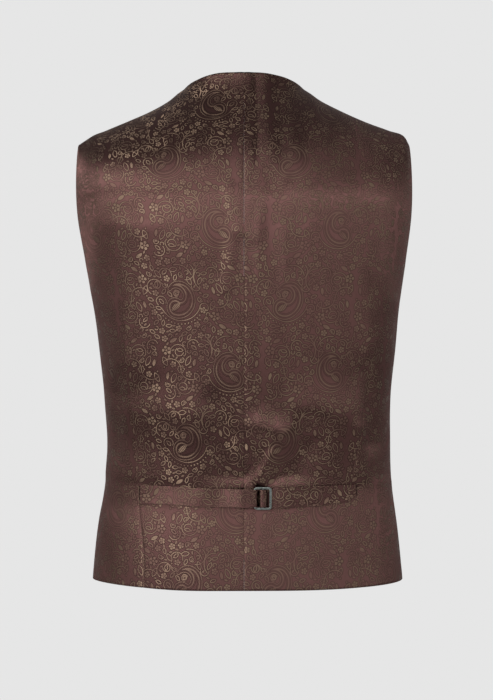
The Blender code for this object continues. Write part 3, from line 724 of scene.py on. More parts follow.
def paisley(brick):
    """The paisley: a drop whose tail tapers and winds round above it. Gives its soft rim, band and
    curls, its bright hatched heart, and the dark line within."""
    place = Place(brick.tree, brick.across * PAISLEY_NARROW, brick.up)
    y, winding, bulb = PAISLEY_MIDDLE, PAISLEY_WINDING, PAISLEY_BULB
    start, sweep = math.radians(PAISLEY_START), math.radians(PAISLEY_SWEEP)
    reach = place.from_point(0.0, y)
    turned = place.angle_round(0.0, y) + (math.radians(40) - start)
    turned = turned.math("FLOORED_MODULO", 2 * math.pi) - math.radians(40)
    share = turned * (1 / sweep)
    taper = share.times_plus(-1.0, 1.0).clamped().math("POWER", 0.9)
    outside = abs(share - 0.5).math("GREATER_THAN", 0.5)
    horn = outside.times_plus(1000.0, taper.times_plus(-bulb, abs(reach - winding)))
    heel = place.from_point(winding * math.cos(start), y + winding * math.sin(start)) - bulb
    end = start + sweep
    tip = place.from_point(winding * math.cos(end), y + winding * math.sin(end)) - 0.5
    body = horn.least(heel).least(tip)
    soft = (abs(body + 1.7) - 0.35).least(abs(body - 1.6))
    for curl in (Arc(-1.5, 4.4, 3.4, 150, -0.55), Arc(-1.0, 4.0, 1.5, 330, -0.40)):
        soft = soft.least(brick.shape(curl))
    hatch = brick.towards(math.cos(0.55), math.sin(0.55)).math("PINGPONG", 0.85) + (LINE - 0.50)
    bright = brick.shape(Leaf(-4.0, -9.6, 12.5, 5.4, 38, True)).most(hatch)
    return soft, bright, abs(body + 4.3)


def inked(distance):
    """1 on a woven line, 0 off it, with a soft edge."""
    return distance.times_plus(-LINE_EDGE, LINE_EDGE * LINE + 0.5).clamped()


def figure(tree):
    """How much of the woven figure shows, 1 on it, less on a paisley's soft lines, 0 on the ground;
    and how much of the dark outline round it. Groups of motifs are woven fainter than others."""
    source = add_node(tree, "UVMap", uv_map="cloth").outputs[0]
    apart = add_node(tree, "SeparateXYZ", {0: source})
    across = Weave(tree, apart.outputs[0]) * -1000.0
    up = Weave(tree, apart.outputs[1]) * 1000.0
    filling = filled_ground()
    place = bricks(tree, across, up, 0.0)
    soft, nearest, within = paisley(place)
    by_bouquet = bouquets(bricks(tree, across, up, BRICK_WIDTH / 2))
    in_border = bricks(tree, across, up + BRICK_HEIGHT / 2, 0.0)
    for group, drawn, at in (
        ("paisley", PAISLEY_SPRIGS, place), ("bouquet", BOUQUET, by_bouquet), ("border", [], in_border)
    ):
        for item in drawn + filling[group].bright:
            nearest = nearest.least(at.shape(item))
        for item in filling[group].soft:
            soft = soft.least(at.shape(item))
    bright, faint = inked(nearest), inked(soft)
    from_edge = abs(nearest.least(soft) - (LINE + EDGE_OUT))
    outline = from_edge.least(within).times_plus(-2.2, 1.1).clamped()
    entries = {"Vector": source, "Scale": GROUPS_SCALE, "Detail": 1.0}
    groups = add_node(tree, "TexNoise", entries, noise_dimensions="2D")
    lively = Weave(tree, groups.outputs["Fac"]).times_plus(4.2, -1.60).clamped()
    shown = (faint * SOFT_LINES).most(bright) * lively.times_plus(1.0 - FAINTEST_GROUP, FAINTEST_GROUP)
    return shown, outline


def satin_threads(tree, figure_height):
    """The normal over the fine warp and the figure's raised yarn, and the threads' own unevenness."""
    source = add_node(tree, "UVMap", uv_map="cloth")
    scale = (1 / THREAD_PITCH, 1 / THREAD_LENGTH, 1.0)
    stretch = add_node(tree, "Mapping", {0: source.outputs[0], "Scale": scale})
    entries = {"Vector": stretch.outputs[0], "Scale": 1.0, "Detail": 1.0}
    threads = add_node(tree, "TexNoise", entries, noise_dimensions="2D").outputs["Fac"]
    height = Weave(tree, threads) + figure_height
    entries = {"Strength": 0.20, "Distance": YARN_RISE, "Height": height.socket}
    return add_node(tree, "Bump", entries).outputs[0], threads


def new_material(name):
    material = bpy.data.materials.new(name)
    material.use_nodes = True
    material.node_tree.nodes.clear()
    return material, material.node_tree


def yarn_shader(tree, colour, metallic, roughness, stretch, turn, normal):
    """Glossy yarn: its shine is drawn out across the threads."""
    along = add_node(tree, "Tangent", direction_type="UV_MAP", uv_map="cloth")
    return add_node(tree, "BsdfPrincipled", {
        "Base Color": colour, "Metallic": metallic, "Roughness": roughness, "Anisotropic": stretch,
        "Anisotropic Rotation": turn, "Tangent": along.outputs[0], "Normal": normal,
    }).outputs[0]


GROUND_DARK = (0.105, 0.0510, 0.0465, 1.0)
GROUND_LIGHT = (0.152, 0.0765, 0.0700, 1.0)
OUTLINE_DARK = (0.055, 0.0330, 0.0270, 1.0)
FIGURE_TAN = (0.168, 0.112, 0.078, 1.0)


def satin_jacquard():
    material, tree = new_material("satin_jacquard_cloth")
    shown, outline = figure(tree)
    normal, threads = satin_threads(tree, shown)
    tint = add_node(tree, "Mix", {0: threads, 6: GROUND_DARK, 7: GROUND_LIGHT}, data_type="RGBA")
    edged = {0: outline.socket, 6: tint.outputs[2], 7: OUTLINE_DARK}
    edged = add_node(tree, "Mix", edged, data_type="RGBA")
    ground = yarn_shader(tree, edged.outputs[2], 1.00, 0.50, 1.00, 0.0, normal)
    raised = yarn_shader(tree, FIGURE_TAN, 0.90, 0.43, 0.95, 0.25, normal)
    mixed = add_node(tree, "MixShader", {0: shown.socket, 1: ground, 2: raised})
    add_node(tree, "OutputMaterial", {0: mixed.outputs[0]})
    return material


satin = satin_jacquard()

FIGURE_AT = {"left": 0.0680, "right": 0.0504}   # where on the patterned cloth each back is cut,
FIGURE_UP = -0.009                              # and how far up
SEAM_GROOVE = (0.0016, -0.0004)     # half width and depth
SEAM_SWELL = (0.003, 0.0003)
SEAM_SWELL_AWAY = 0.005
DART_GROOVE = (0.0014, -0.0005)
DART_CLOSES_OVER = 0.03
ACROSS_BACK = 0.19                  # about how wide a back is, for the distance from its dart
INTAKE = [(0.0, 0.008), (0.12, 0.012), (DART_TOP, 0.0)]   # height, and what the dart takes up
# How far into its cloth each back's centre edge is cut.
SeamShape = namedtuple("SeamShape", "height left right")
SEAM_SHAPE = [
    SeamShape(0.00, 0.0180, 0.0180),
    SeamShape(0.08, 0.0190, 0.0140),
    SeamShape(0.15, 0.0175, 0.0105),
    SeamShape(0.22, 0.0130, 0.0085),
    SeamShape(0.29, 0.0120, 0.0065),
    SeamShape(0.36, 0.0020, 0.0020),
    SeamShape(0.42, -0.0020, 0.0000),
    SeamShape(0.45, -0.0050, 0.0000),
    SeamShape(0.55, -0.0020, 0.0000),
]

# The rows and columns of the skin, closest together at the underarm, the seams and the darts.
row_levels = np.concatenate([
    np.linspace(0.0, UNDERARM / BLADE_ROW, 52),
    np.array([0.302, 0.305, 0.309, 0.314, 0.320, 0.328, 0.338, 0.350, 0.364, 0.378, 0.390])
    / BLADE_ROW,
    np.linspace(1.0, 2.0, 41),
])
fine_rows = np.concatenate([
    np.linspace(0.0, UNDERARM / BLADE_ROW, 142)[:-1],
    np.linspace(UNDERARM / BLADE_ROW, 1.0, 52)[:-1],
    np.linspace(1.0, 2.0, 78),
])
near_seam = np.array([0.0, 0.003, 0.007, 0.012])
near_dart = DART_SHARE + np.array([-0.016, -0.011, -0.007, -0.0035, 0.0, 0.0035, 0.007, 0.011, 0.016])
fine_shares = np.sort(np.concatenate([
    near_seam, np.linspace(0.020, DART_SHARE - 0.024, 64),
    near_dart, np.linspace(DART_SHARE + 0.024, 1.0, 36),
]))
for side, name in ((1.0, "back_left"), (-1.0, "back_right")):
    outer = partial(back_point, side)
    skin = skin_grid(outer, row_levels, np.linspace(0, 1, 51), fine_rows, fine_shares)
    normal = grid_normals(skin, -side)
    x, height = skin[..., 0], skin[..., 2] + SHOULDERS_ABOVE_HEM
    below_blades = 1 - smoothstep(BLADE_ROW - 0.02, BLADE_ROW, height)
    over_strap = smoothstep(CREASES_END, CREASES_END + CREASES_FADE, height)
    out = crease_depth(CREASES, x, height) * over_strap * below_blades
    over_fine = smoothstep(FINE_CREASES_END, FINE_CREASES_END + FINE_CREASES_FADE, height)
    out += crease_depth(FINE_CREASES, x, height) * over_fine
    free = smoothstep(0.0, 0.02, height) * (0.25 + 0.75 * over_strap)
    out += slack(x, height, 7) * free * smoothstep(0.0, 0.04, 1 - fine_shares)[None, :]
    from_seam = np.abs(x - SEAM_X)
    out += groove(from_seam, *SEAM_GROOVE) + groove(from_seam - SEAM_SWELL_AWAY, *SEAM_SWELL)
    from_dart = (fine_shares[None, :] - DART_SHARE) * ACROSS_BACK
    closed = smoothstep(DART_TOP, DART_TOP - DART_CLOSES_OVER, height)
    out += groove(from_dart, *DART_GROOVE) * closed
    skin = skin + normal * out[..., None]
    across_cloth = lengths(skin, 1)
    up_cloth = lengths(skin, 0)
    shape = np.array([eased(SEAM_SHAPE, of_side(side), float(h)) for h in height[:, 0]])
    intake = np.interp(height[:, 0], *zip(*INTAKE))
    across_cloth = across_cloth + shape[:, None] + intake[:, None] * (fine_shares > DART_SHARE)[None, :]
    across_cloth = FIGURE_AT[of_side(side)] + side * across_cloth
    mesh = cloth_mesh(name + "_satin", skin, across_cloth, up_cloth + FIGURE_UP, inward=side > 0)
    piece = add_piece(name + "_satin", mesh, satin, (name,))
    give_wall(piece, SATIN_WALL)


# ---- Fronts --------------------------------------------------------------------------------------
# Two fronts of plain worsted suit cloth with a V neck, the wearer's left lapping over the right. Their
# edges are turned in and pressed, and they join the backs at the side and shoulder seams.

CHEST_ROW = 0.340
V_STARTS = 0.290
OVERLAP = 0.012
HEM_PARTS_BELOW = 0.050
HEM_PARTS_BY = 0.030
HEM_PARTS_CURVE = 1.6
WORSTED_WALL = 0.0019
PRESSED_EDGE = (0.0012, -0.0006)
LAP_LIFT = 0.00245        # how far the left front stands off to clear the right one,
LAP_LEVEL_TO = 0.015      # level as far as this beyond the middle,
LAP_EASE_TO = 0.048       # easing out to here,
LAP_FADE_FROM = 0.335     # and ending between these heights
LAP_FADE_TO = 0.420
FRONT_HEM = [
    Hem(0.00, -0.0080, -0.0080),
    Hem(0.16, -0.0200, -0.0200),
    Hem(0.50, -0.0110, -0.0110),
    Hem(1.00, 0.0018, 0.0016),
]
FRONT_CREASES = [
    # soft folds where the buttoned waist draws in, and one from each armhole towards the chest
    Crease(0.070, 0.190, 0.020, 0.170, 0.016, -0.0014),
    Crease(-0.066, 0.200, -0.018, 0.172, 0.018, -0.0013),
    Crease(0.085, 0.120, 0.022, 0.134, 0.018, 0.0011),
    Crease(-0.090, 0.112, -0.022, 0.136, 0.016, 0.0012),
    Crease(0.132, 0.330, 0.100, 0.262, 0.014, -0.0016),
    Crease(-0.134, 0.326, -0.098, 0.258, 0.015, -0.0015),
    Crease(0.112, 0.060, 0.106, 0.010, 0.014, 0.0010),
    Crease(-0.100, 0.064, -0.106, 0.008, 0.016, 0.0011),
]


def front_edge(height):
    """How far past the middle the closing edge runs, then the V neck."""
    if height > V_STARTS:
        slope = (NECK_POINT + OVERLAP) / (NECKLINE[-1].height - V_STARTS)
        return -OVERLAP + (height - V_STARTS) * slope
    below = max(HEM_PARTS_BELOW - height, 0.0) / HEM_PARTS_BELOW
    return -OVERLAP + HEM_PARTS_BY * below**HEM_PARTS_CURVE


def front_low(side, share, height):
    level = float(with_hem(FRONT_HEM, side, share, height))
    section = body_section(level)
    start = section.front_distance(front_edge(height))
    depth = straight(ARMHOLE, "front_edge", height)
    edge = section.along[-1] - section.distance_at_depth(depth) - 0.5 * SEAM_GAP
    x, y = section.from_front(start + (edge - start) * share)
    return placed(section.sway + side * x, y, level)


def front_point(side, share, level):
    """The front's outer skin. Level 0 to 1 is hem to chest, 1 to 2 chest to shoulder seam."""
    if level <= 1.0:
        return front_low(side, share, level * CHEST_ROW)
    across = NECK_POINT + share * (SHOULDER_TIP - NECK_POINT)
    return yoke_curve(
        front_low(side, share, CHEST_ROW),
        front_low(side, share, CHEST_ROW - JUST_BELOW),
        top_point(side, across, 1.0),
        0.0,
        eased(TOP_EDGE, "reach", across),
        level - 1.0,
        1.0,
    )


def lap_lift(side, x, height):
    """The left front lies on the right one where they lap."""
    if side < 0:
        return np.zeros_like(x)
    eased_out = 1 - smoothstep(LAP_LEVEL_TO, LAP_EASE_TO, x)
    return LAP_LIFT * eased_out * (1 - smoothstep(LAP_FADE_FROM, LAP_FADE_TO, height))


def two_tones(tree, factor, low, high, dark, light):
    """A colour that goes from dark to light as the factor goes from low to high."""
    ramp = add_node(tree, "ValToRGB", {"Fac": factor})
    for stop, at, colour in zip(ramp.color_ramp.elements, (low, high), (dark, light)):
        stop.position, stop.color = at, (*colour, 1.0)
    return ramp.outputs[0]


def worsted():
    """Fine dark twill: mixed yarns, a faint diagonal rib and a soft nap."""
    material, tree = new_material("worsted_suit_cloth")
    place = add_node(tree, "UVMap", uv_map="cloth").outputs[0]
    entries = {"Vector": place, "Scale": 260.0, "Distortion": 1.4, "Detail": 1.0, "Detail Scale": 2.0}
    rib = add_node(tree, "TexWave", entries, wave_type="BANDS", bands_direction="DIAGONAL")
    yarns = add_node(tree, "TexNoise", {"Vector": place, "Scale": 900.0, "Detail": 2.0})
    cloud = add_node(tree, "TexNoise", {"Vector": place, "Scale": 38.0, "Detail": 3.0})
    mixed = (Weave(tree, rib.outputs["Fac"]) * 0.45 + Weave(tree, yarns.outputs["Fac"]) * 0.40
             + Weave(tree, cloud.outputs["Fac"]) * 0.15)
    dark, light = (0.0260, 0.0165, 0.0145), (0.0720, 0.0480, 0.0420)
    colour = two_tones(tree, mixed.socket, 0.28, 0.72, dark, light)
    bump = add_node(tree, "Bump", {"Strength": 0.35, "Distance": 0.00012, "Height": mixed.socket})
    wool = add_node(tree, "BsdfPrincipled", {
        "Base Color": colour, "Roughness": 0.78, "Sheen Weight": 0.25, "Sheen Roughness": 0.45,
        "Specular IOR Level": 0.30, "Normal": bump.outputs[0],
    })
    add_node(tree, "OutputMaterial", {0: wool.outputs[0]})
    return material


suit_cloth = worsted()
front_rows = np.concatenate([
    np.linspace(0.0, V_STARTS, 40), np.linspace(0.292, UNDERARM, 4),
    np.array([0.302, 0.305, 0.309, 0.314, 0.320, 0.328]),
]) / CHEST_ROW
front_rows = np.concatenate([front_rows, np.linspace(1.0, 2.0, 31)])
fine_front_rows = np.concatenate([
    [0.0, 0.0020, 0.0045], np.linspace(0.009, 1.0, 100)[:-1],
    np.linspace(1.0, 1.985, 60), [1.991, 1.996, 2.0],
])
fine_front_shares = np.concatenate([
    [0.0, 0.003, 0.007, 0.012, 0.019], np.linspace(0.030, 0.975, 52), [0.985, 0.992, 0.997, 1.0],
])
for side, name in ((1.0, "front_left"), (-1.0, "front_right")):
    outer = partial(front_point, side)
    skin = skin_grid(outer, front_rows, np.linspace(0, 1, 25), fine_front_rows, fine_front_shares)
    normal = grid_normals(skin, side)
    x, height = skin[..., 0], skin[..., 2] + SHOULDERS_ABOVE_HEM
    closing = lengths(skin, 1)
    to_side = closing[:, -1:] - closing
    free = smoothstep(0.0, 0.03, closing) * smoothstep(0.0, 0.03, to_side)
    free = free * smoothstep(0.0, 0.05, height) * (1 - smoothstep(0.40, 0.47, height))
    out = lap_lift(side, x, height)
    out += (crease_depth(FRONT_CREASES, x, height) + slack(x, height, 11)) * free
    rising = lengths(skin, 0)
    from_rim = np.minimum(np.minimum(closing, to_side), np.minimum(rising, rising[-1:] - rising))
    out += groove(from_rim, *PRESSED_EDGE)
    skin = skin + normal * out[..., None]
    mesh = cloth_mesh(name + "_cloth", skin, closing * side, lengths(skin, 0), inward=side < 0)
    piece = add_piece(name + "_cloth", mesh, suit_cloth, (name,))
    give_wall(piece, WORSTED_WALL)


# ---- Buttons and buttonholes ---------------------------------------------------------------------
# Five turned horn buttons with four holes, sewn to the right front with crossed thread and put
# through worked buttonholes in the left one.

BUTTON_COUNT = 5
TOP_BUTTON = 0.272
BUTTON_SPACING = 0.052
BUTTON_RADIUS = 0.0075
BUTTON_TOP = 0.0040       # how high its rim stands,
BUTTON_FLOOR = BUTTON_TOP - 0.0007   # and the sunk middle with the holes
FLOOR_RADIUS = 0.0046
SHANK_RADIUS = 0.0022
SHANK_LENGTH = 0.0010
HOLE_RADIUS = 0.00075
HOLE_OUT = 0.00155
HOLE_DEPTH = 0.0016
THREAD_RADIUS = 0.00034
THREADS_APART = 0.00052
CORNER = math.radians(40)
SEAT_OFF = 0.0003         # how far a button's foot stands off the cloth
HOLE_WORK_DOWN = 0.00025  # and how much nearer to it a buttonhole's stitches lie
BUTTONHOLE_HALF = 0.0098
BUTTONHOLE_BEYOND = 0.0028
BUTTONHOLE_STITCHES = 34


def horn():
    material, tree = new_material("dark_horn_button")
    place = add_node(tree, "TexCoord").outputs["Object"]
    entries = {"Vector": place, "Scale": 240.0, "Detail": 4.0, "Distortion": 1.8}
    streaks = add_node(tree, "TexNoise", entries).outputs["Fac"]
    colour = two_tones(tree, streaks, 0.35, 0.70, (0.012, 0.008, 0.007), (0.085, 0.050, 0.036))
    polished = add_node(tree, "BsdfPrincipled", {"Base Color": colour, "Roughness": 0.28})
    add_node(tree, "OutputMaterial", {0: polished.outputs[0]})
    return material


def thread():
    material, tree = new_material("button_thread")
    place = add_node(tree, "TexCoord").outputs["Object"]
    twist = add_node(tree, "TexNoise", {"Vector": place, "Scale": 2200.0}).outputs["Fac"]
    colour = two_tones(tree, twist, 0.0, 1.0, (0.030, 0.019, 0.016), (0.105, 0.070, 0.060))
    bump = add_node(tree, "Bump", {"Strength": 0.6, "Distance": 0.0001, "Height": twist})
    entries = {"Base Color": colour, "Roughness": 0.55, "Normal": bump.outputs[0]}
    silk = add_node(tree, "BsdfPrincipled", entries)
    add_node(tree, "OutputMaterial", {0: silk.outputs[0]})
    return material


def verts_on_circle(bm, radius, height):
    return [v for v in bm.verts if abs(v.co.xy.length - radius) + abs(v.co.z - height) < 2e-5]


def edges_among(bm, verts):
    return [e for e in bm.edges if e.verts[0] in verts and e.verts[1] in verts]


def button_blank():
    """The turned button with its four drilled holes, lying flat round the origin."""
    top = BUTTON_TOP
    profile = [
        (FLOOR_RADIUS, BUTTON_FLOOR),
        (0.0052, top - 0.00062),
        (0.0056, top - 0.00020),
        (0.0060, top),
        (0.0066, top + 0.00002),
        (0.0072, top - 0.00035),
        (BUTTON_RADIUS, top - 0.00105),
        (0.00742, top - 0.0017),
        (0.0067, SHANK_LENGTH + 0.00040),
        (0.0050, SHANK_LENGTH + 0.00008),
        (SHANK_RADIUS, SHANK_LENGTH),
    ]
    bm = bmesh.new()
    points = [bm.verts.new((x, 0.0, z)) for x, z in profile]
    edges = [bm.edges.new(pair) for pair in zip(points, points[1:])]
    bmesh.ops.spin(
        bm, geom=points + edges, cent=(0, 0, 0), axis=(0, 0, 1), angle=2 * math.pi, steps=48,
        use_merge=True,
    )
    rim = edges_among(bm, verts_on_circle(bm, FLOOR_RADIUS, BUTTON_FLOOR))
    holes = []
    for turn in range(4):
        a = math.radians(45 + 90 * turn)
        place = Matrix.Translation((HOLE_OUT * math.cos(a), HOLE_OUT * math.sin(a), BUTTON_FLOOR))
        ring = bmesh.ops.create_circle(bm, segments=12, radius=HOLE_RADIUS, matrix=place)["verts"]
        holes += edges_among(bm, ring)
    bmesh.ops.triangle_fill(bm, use_beauty=True, edges=rim + holes)
    deep = bmesh.ops.extrude_edge_only(bm, edges=holes)["geom"]
    for v in deep:
        if isinstance(v, bmesh.types.BMVert):
            v.co.z -= HOLE_DEPTH
    bmesh.ops.contextual_create(bm, geom=verts_on_circle(bm, SHANK_RADIUS, SHANK_LENGTH))
    bmesh.ops.recalc_face_normals(bm, faces=bm.faces[:])
    for face in bm.faces:
        face.smooth = True
    for edge in bm.edges:
        if len(edge.link_faces) == 2 and edge.calc_face_angle(0.0) > CORNER:
            edge.smooth = False
    return bm


def strand(bm, points, radius, sides=8):
    """A round thread along these points, rounded off at its ends."""
    points = [Vector(p) for p in points]
    rings = []
    for i, point in enumerate(points):
        run = (points[min(i + 1, len(points) - 1)] - points[max(i - 1, 0)]).normalized()
        turn = run.to_track_quat("Z", "Y").to_matrix().to_4x4()
        size = radius * (0.55 if i in (0, len(points) - 1) else 1.0)
        ring = bmesh.ops.create_circle(
            bm, cap_ends=i in (0, len(points) - 1), segments=sides, radius=size,
            matrix=Matrix.Translation(point) @ turn,
        )["verts"]
        rings.append(edges_among(bm, ring))
    for one, other in zip(rings, rings[1:]):
        bmesh.ops.bridge_loops(bm, edges=one + other)


def sewn_on():
    """Two crossed pairs of threads through the holes, one over the other, and the shank below."""
    bm = bmesh.new()
    for turned, rise in ((45, 0.00010), (135, 0.00048)):
        for aside in (-0.5 * THREADS_APART, 0.5 * THREADS_APART):
            a = math.radians(turned)
            along, off = Vector((math.cos(a), math.sin(a), 0)), Vector((-math.sin(a), math.cos(a), 0))
            path = []
            for t in (-1.0, -0.92, -0.6, -0.25, 0.25, 0.6, 0.92, 1.0):
                lift = -0.0006 if abs(t) == 1.0 else rise * (1 - 0.6 * t * t) + 0.0001
                path.append(along * (t * HOLE_OUT) + off * aside + Vector((0, 0, BUTTON_FLOOR + lift)))
            strand(bm, path, THREAD_RADIUS)
    for turned in range(0, 360, 60):
        a = math.radians(turned)
        foot = Vector((0.0010 * math.cos(a), 0.0010 * math.sin(a), 0.0))
        middle, upper = foot * 1.15 + Vector((0, 0, 0.0006)), foot + Vector((0, 0, 0.0012))
        strand(bm, [foot, middle, upper], 0.0005)
    return bm


def buttonhole():
    """Close stitches over both lips of the slit, which reaches out past the button."""
    bm = bmesh.new()
    lift = Vector((0, 0, 0.00022))
    for lip in (-1, 1):
        for k in range(BUTTONHOLE_STITCHES):
            t = -1 + 2 * k / (BUTTONHOLE_STITCHES - 1)
            at = Vector((BUTTONHOLE_HALF * t - BUTTONHOLE_BEYOND, lip * 0.00060, 0.0))
            reach = Vector((0.0, lip * 0.00062, 0.0))
            over = [at - reach * 0.4 + lift, at + reach * 0.4 + lift]
            strand(bm, [at - reach - lift, *over, at + reach - lift], 0.00024, 5)
    return bm


def finished(bm, name, place, rounded=True):
    """The mesh moved to its place, with its faces outwards. A round one is smooth all over."""
    if rounded:
        bmesh.ops.recalc_face_normals(bm, faces=bm.faces[:])
        for face in bm.faces:
            face.smooth = True
    bmesh.ops.transform(bm, matrix=place, verts=bm.verts[:])
    mesh = bpy.data.meshes.new(name)
    bm.to_mesh(mesh)
    bm.free()
    return mesh


def button_seat(height):
    """Where a button sits on the lapped front: its seat, the turn to lie flat there, the way out."""
    skin = partial(front_point, 1.0)
    level = height / CHEST_ROW
    shares = np.linspace(0.0, 0.3, 61)
    share = float(np.interp(0.0, [skin(s, level)[0] for s in shares], shares))
    across = skin(share + 0.012, level) - skin(share - 0.012, level)
    up = skin(share, level + 0.0005) - skin(share, level - 0.0005)
    out = Vector(np.cross(across, up)).normalized()
    upright = Vector(up).normalized()
    turn = Matrix((upright.cross(out), upright, out)).transposed().to_4x4()
    return Vector(skin(share, level)) + out * (LAP_LIFT + SEAT_OFF), turn, out


horn_material, thread_material = horn(), thread()
for number in range(BUTTON_COUNT):
    seat, turn, out = button_seat(TOP_BUTTON - number * BUTTON_SPACING)
    askew = Matrix.Rotation(math.radians(7 * (number % 3) - 6), 4, "Z")
    place = Matrix.Translation(seat) @ turn @ askew
    name = f"horn_button_{number + 1}"
    mesh = finished(button_blank(), name, place, rounded=False)
    add_piece(name, mesh, horn_material, (f"button_{number + 1}",))
    name = f"button_thread_{number + 1}"
    add_piece(name, finished(sewn_on(), name, place), thread_material)
    name = f"buttonhole_{number + 1}"
    place = Matrix.Translation(seat - out * HOLE_WORK_DOWN) @ turn
    add_piece(name, finished(buttonhole(), name, place), thread_material)


# ---- Waist strap ---------------------------------------------------------------------------------
# A flat band of the same satin in two halves, sewn into the darts. The left half is looped round the
# slide's left bar, the right one goes under, over and under the slide.

STRAP_HEIGHT = 0.093
STRAP_HALF_IN_SLIDE = 0.0092
STRAP_THICK = 0.0010
STRAP_LIES = 0.00045 + 0.5 * STRAP_THICK
STRAP_LEFT_END = 0.1128
STRAP_RIGHT_END = -0.1160
STRAP_CUT_AT = (0.031, 0.012)     # where on the patterned cloth the strap is cut
STRAP_STEP = 0.0012
STRAP_SAG = 0.0026
STRAP_HALF = {"strap_left": 0.0099, "strap_right": 0.0110}
SLIDE_X = -0.0170
SLIDE_WIDTH = 0.0185
SLIDE_BAR = 0.0022
SLIDE_THICK = 0.0016
SLIDE_RISE = 0.00410
WRAP_RADIUS = 0.5 * SLIDE_THICK + 0.0003 + 0.5 * STRAP_THICK + 0.0002
TURNED_UNDER = 0.0100
TAIL = 0.0180
# Places on the way up to the slide, and the share of the rise that the left half has there.
CLIMB_TO_SLIDE = [(0.022, 0.13), (0.014, 0.45), (0.007, 0.80), (0.000, 0.97)]
# The same for the right half over the middle bar, counted from the slide's middle.
OVER_MIDDLE_BAR = [
    (-0.0068, 0.00), (-0.0056, 0.10), (-0.0046, 0.34), (-0.0037, 0.66), (-0.0027, 0.90),
    (-0.0014, 0.99), (0.0000, 1.00), (0.0014, 0.99), (0.0025, 0.88), (0.0033, 0.60),
    (0.0040, 0.30), (0.0050, 0.07), (0.0064, 0.00),
]


def back_frame(x, height):
    """A place on the back's plain skin: the point, the way across and the way out."""
    def skin_at(at_x, at_height):
        section = body_section(round(at_height, 5))
        y = section.from_back(section.back_distance(at_x - section.sway))[1]
        return placed(at_x, y, at_height)

    across = skin_at(x + 0.004, height) - skin_at(x - 0.004, height)
    up = skin_at(x, height + 0.004) - skin_at(x, height - 0.004)
    out = np.cross(up, across)
    return skin_at(x, height), across / np.linalg.norm(across), out / np.linalg.norm(out)


def band_section(count=7):
    """The band's cross-section, once round: share of the half width, share of the half thickness."""
    across = np.linspace(-0.93, 0.93, count)
    face = [(a, 1.0) for a in across]
    edge = [(0.985, 0.80), (1.0, 0.0), (0.985, -0.80)]
    return face + edge + [(-a, -t) for a, t in face] + [(-a, -t) for a, t in edge]


def band_mesh(name, route, half_width, wave):
    """Sweeps the band along its route of (x, rise) points; wave gives its small unevenness."""
    route = np.array(route)
    run = np.concatenate([[0.0], np.cumsum(np.hypot(*np.diff(route, axis=0).T))])
    at = np.unique(np.round(np.concatenate([np.arange(0.0, run[-1], STRAP_STEP), run]), 7))
    line = smooth_between(route, run, np.minimum(at, run[-1]))
    way = np.gradient(line, at, axis=0)
    way /= np.linalg.norm(way, axis=1, keepdims=True)
    outside = math.copysign(1.0, way[0][0])
    section = band_section()
    section.append(section[0])
    slide_point, slide_across, slide_out = back_frame(SLIDE_X, STRAP_HEIGHT)
    slide_up = np.cross(slide_across, slide_out)
    grid = np.zeros((len(at), len(section), 3))
    for i, (x, rise) in enumerate(line):
        near = 1 - smoothstep(0.012, 0.034, abs(x - SLIDE_X))
        gathered = 1 - smoothstep(0.009, 0.014, abs(x - SLIDE_X))
        width = half_width + (STRAP_HALF_IN_SLIDE - half_width) * gathered
        for j, (across, thick) in enumerate(section):
            lifted, shifted = wave(x, across)
            half = 0.5 * STRAP_THICK * thick * outside
            at_x = x - half * way[i][1]
            at_rise = rise + half * way[i][0] + lifted * (1 - near)
            rise_across = across * width + shifted * (1 - near)
            point, _, out = back_frame(at_x, STRAP_HEIGHT + rise_across)
            on_body = point + out * at_rise
            on_slide = slide_point + slide_across * (at_x - SLIDE_X) + slide_out * at_rise
            on_slide = on_slide + slide_up * rise_across
            grid[i, j] = on_body * (1 - near) + on_slide * near
    steps = np.hypot(
        np.diff([across for across, _ in section]) * half_width,
        np.diff([thick for _, thick in section]) * 0.5 * STRAP_THICK,
    )
    around = np.concatenate([[0.0], np.cumsum(steps)])
    across_cloth = np.repeat(around[None, :], len(at), axis=0) + STRAP_CUT_AT[0]
    up_cloth = np.repeat(at[:, None], len(section), axis=1) + STRAP_CUT_AT[1]
    return cloth_mesh(name, grid, across_cloth, up_cloth, tube=True)


def half_circle(centre_x, centre_rise, radius, count):
    """Round the back of the slide's bar, from the outer side to the inner one."""
    angles = np.radians(np.linspace(90.0, 270.0, count))
    return [(centre_x + radius * math.cos(a), centre_rise + radius * math.sin(a)) for a in angles]


def left_wave(x, across):
    """How far the left half is lifted and shifted up at each place: it sags a little to its end."""
    sag = STRAP_SAG * smoothstep(0.010, 0.100, x)
    lift = 0.00030 * (1 + math.sin(150 * x + 1.2 * across)) + 0.00025 * across * across
    return lift, sag + 0.0003 * math.sin(95 * x)


def right_wave(x, across):
    """The same for the right half, whose lower corner is drawn up where it enters the dart."""
    sag = STRAP_SAG * smoothstep(0.030, 0.100, -x)
    corner = 0.0030 * smoothstep(0.072, 0.104, -x) + 0.0055 * smoothstep(0.106, 0.116, -x)
    lift = 0.00035 * (1 + math.sin(118 * x + 0.9 * across)) * (1 - smoothstep(0.095, 0.112, -x))
    rise = sag + corner * max(-across, 0.0) + 0.0003 * math.sin(80 * x)
    return lift + 0.0002 * across * across, rise


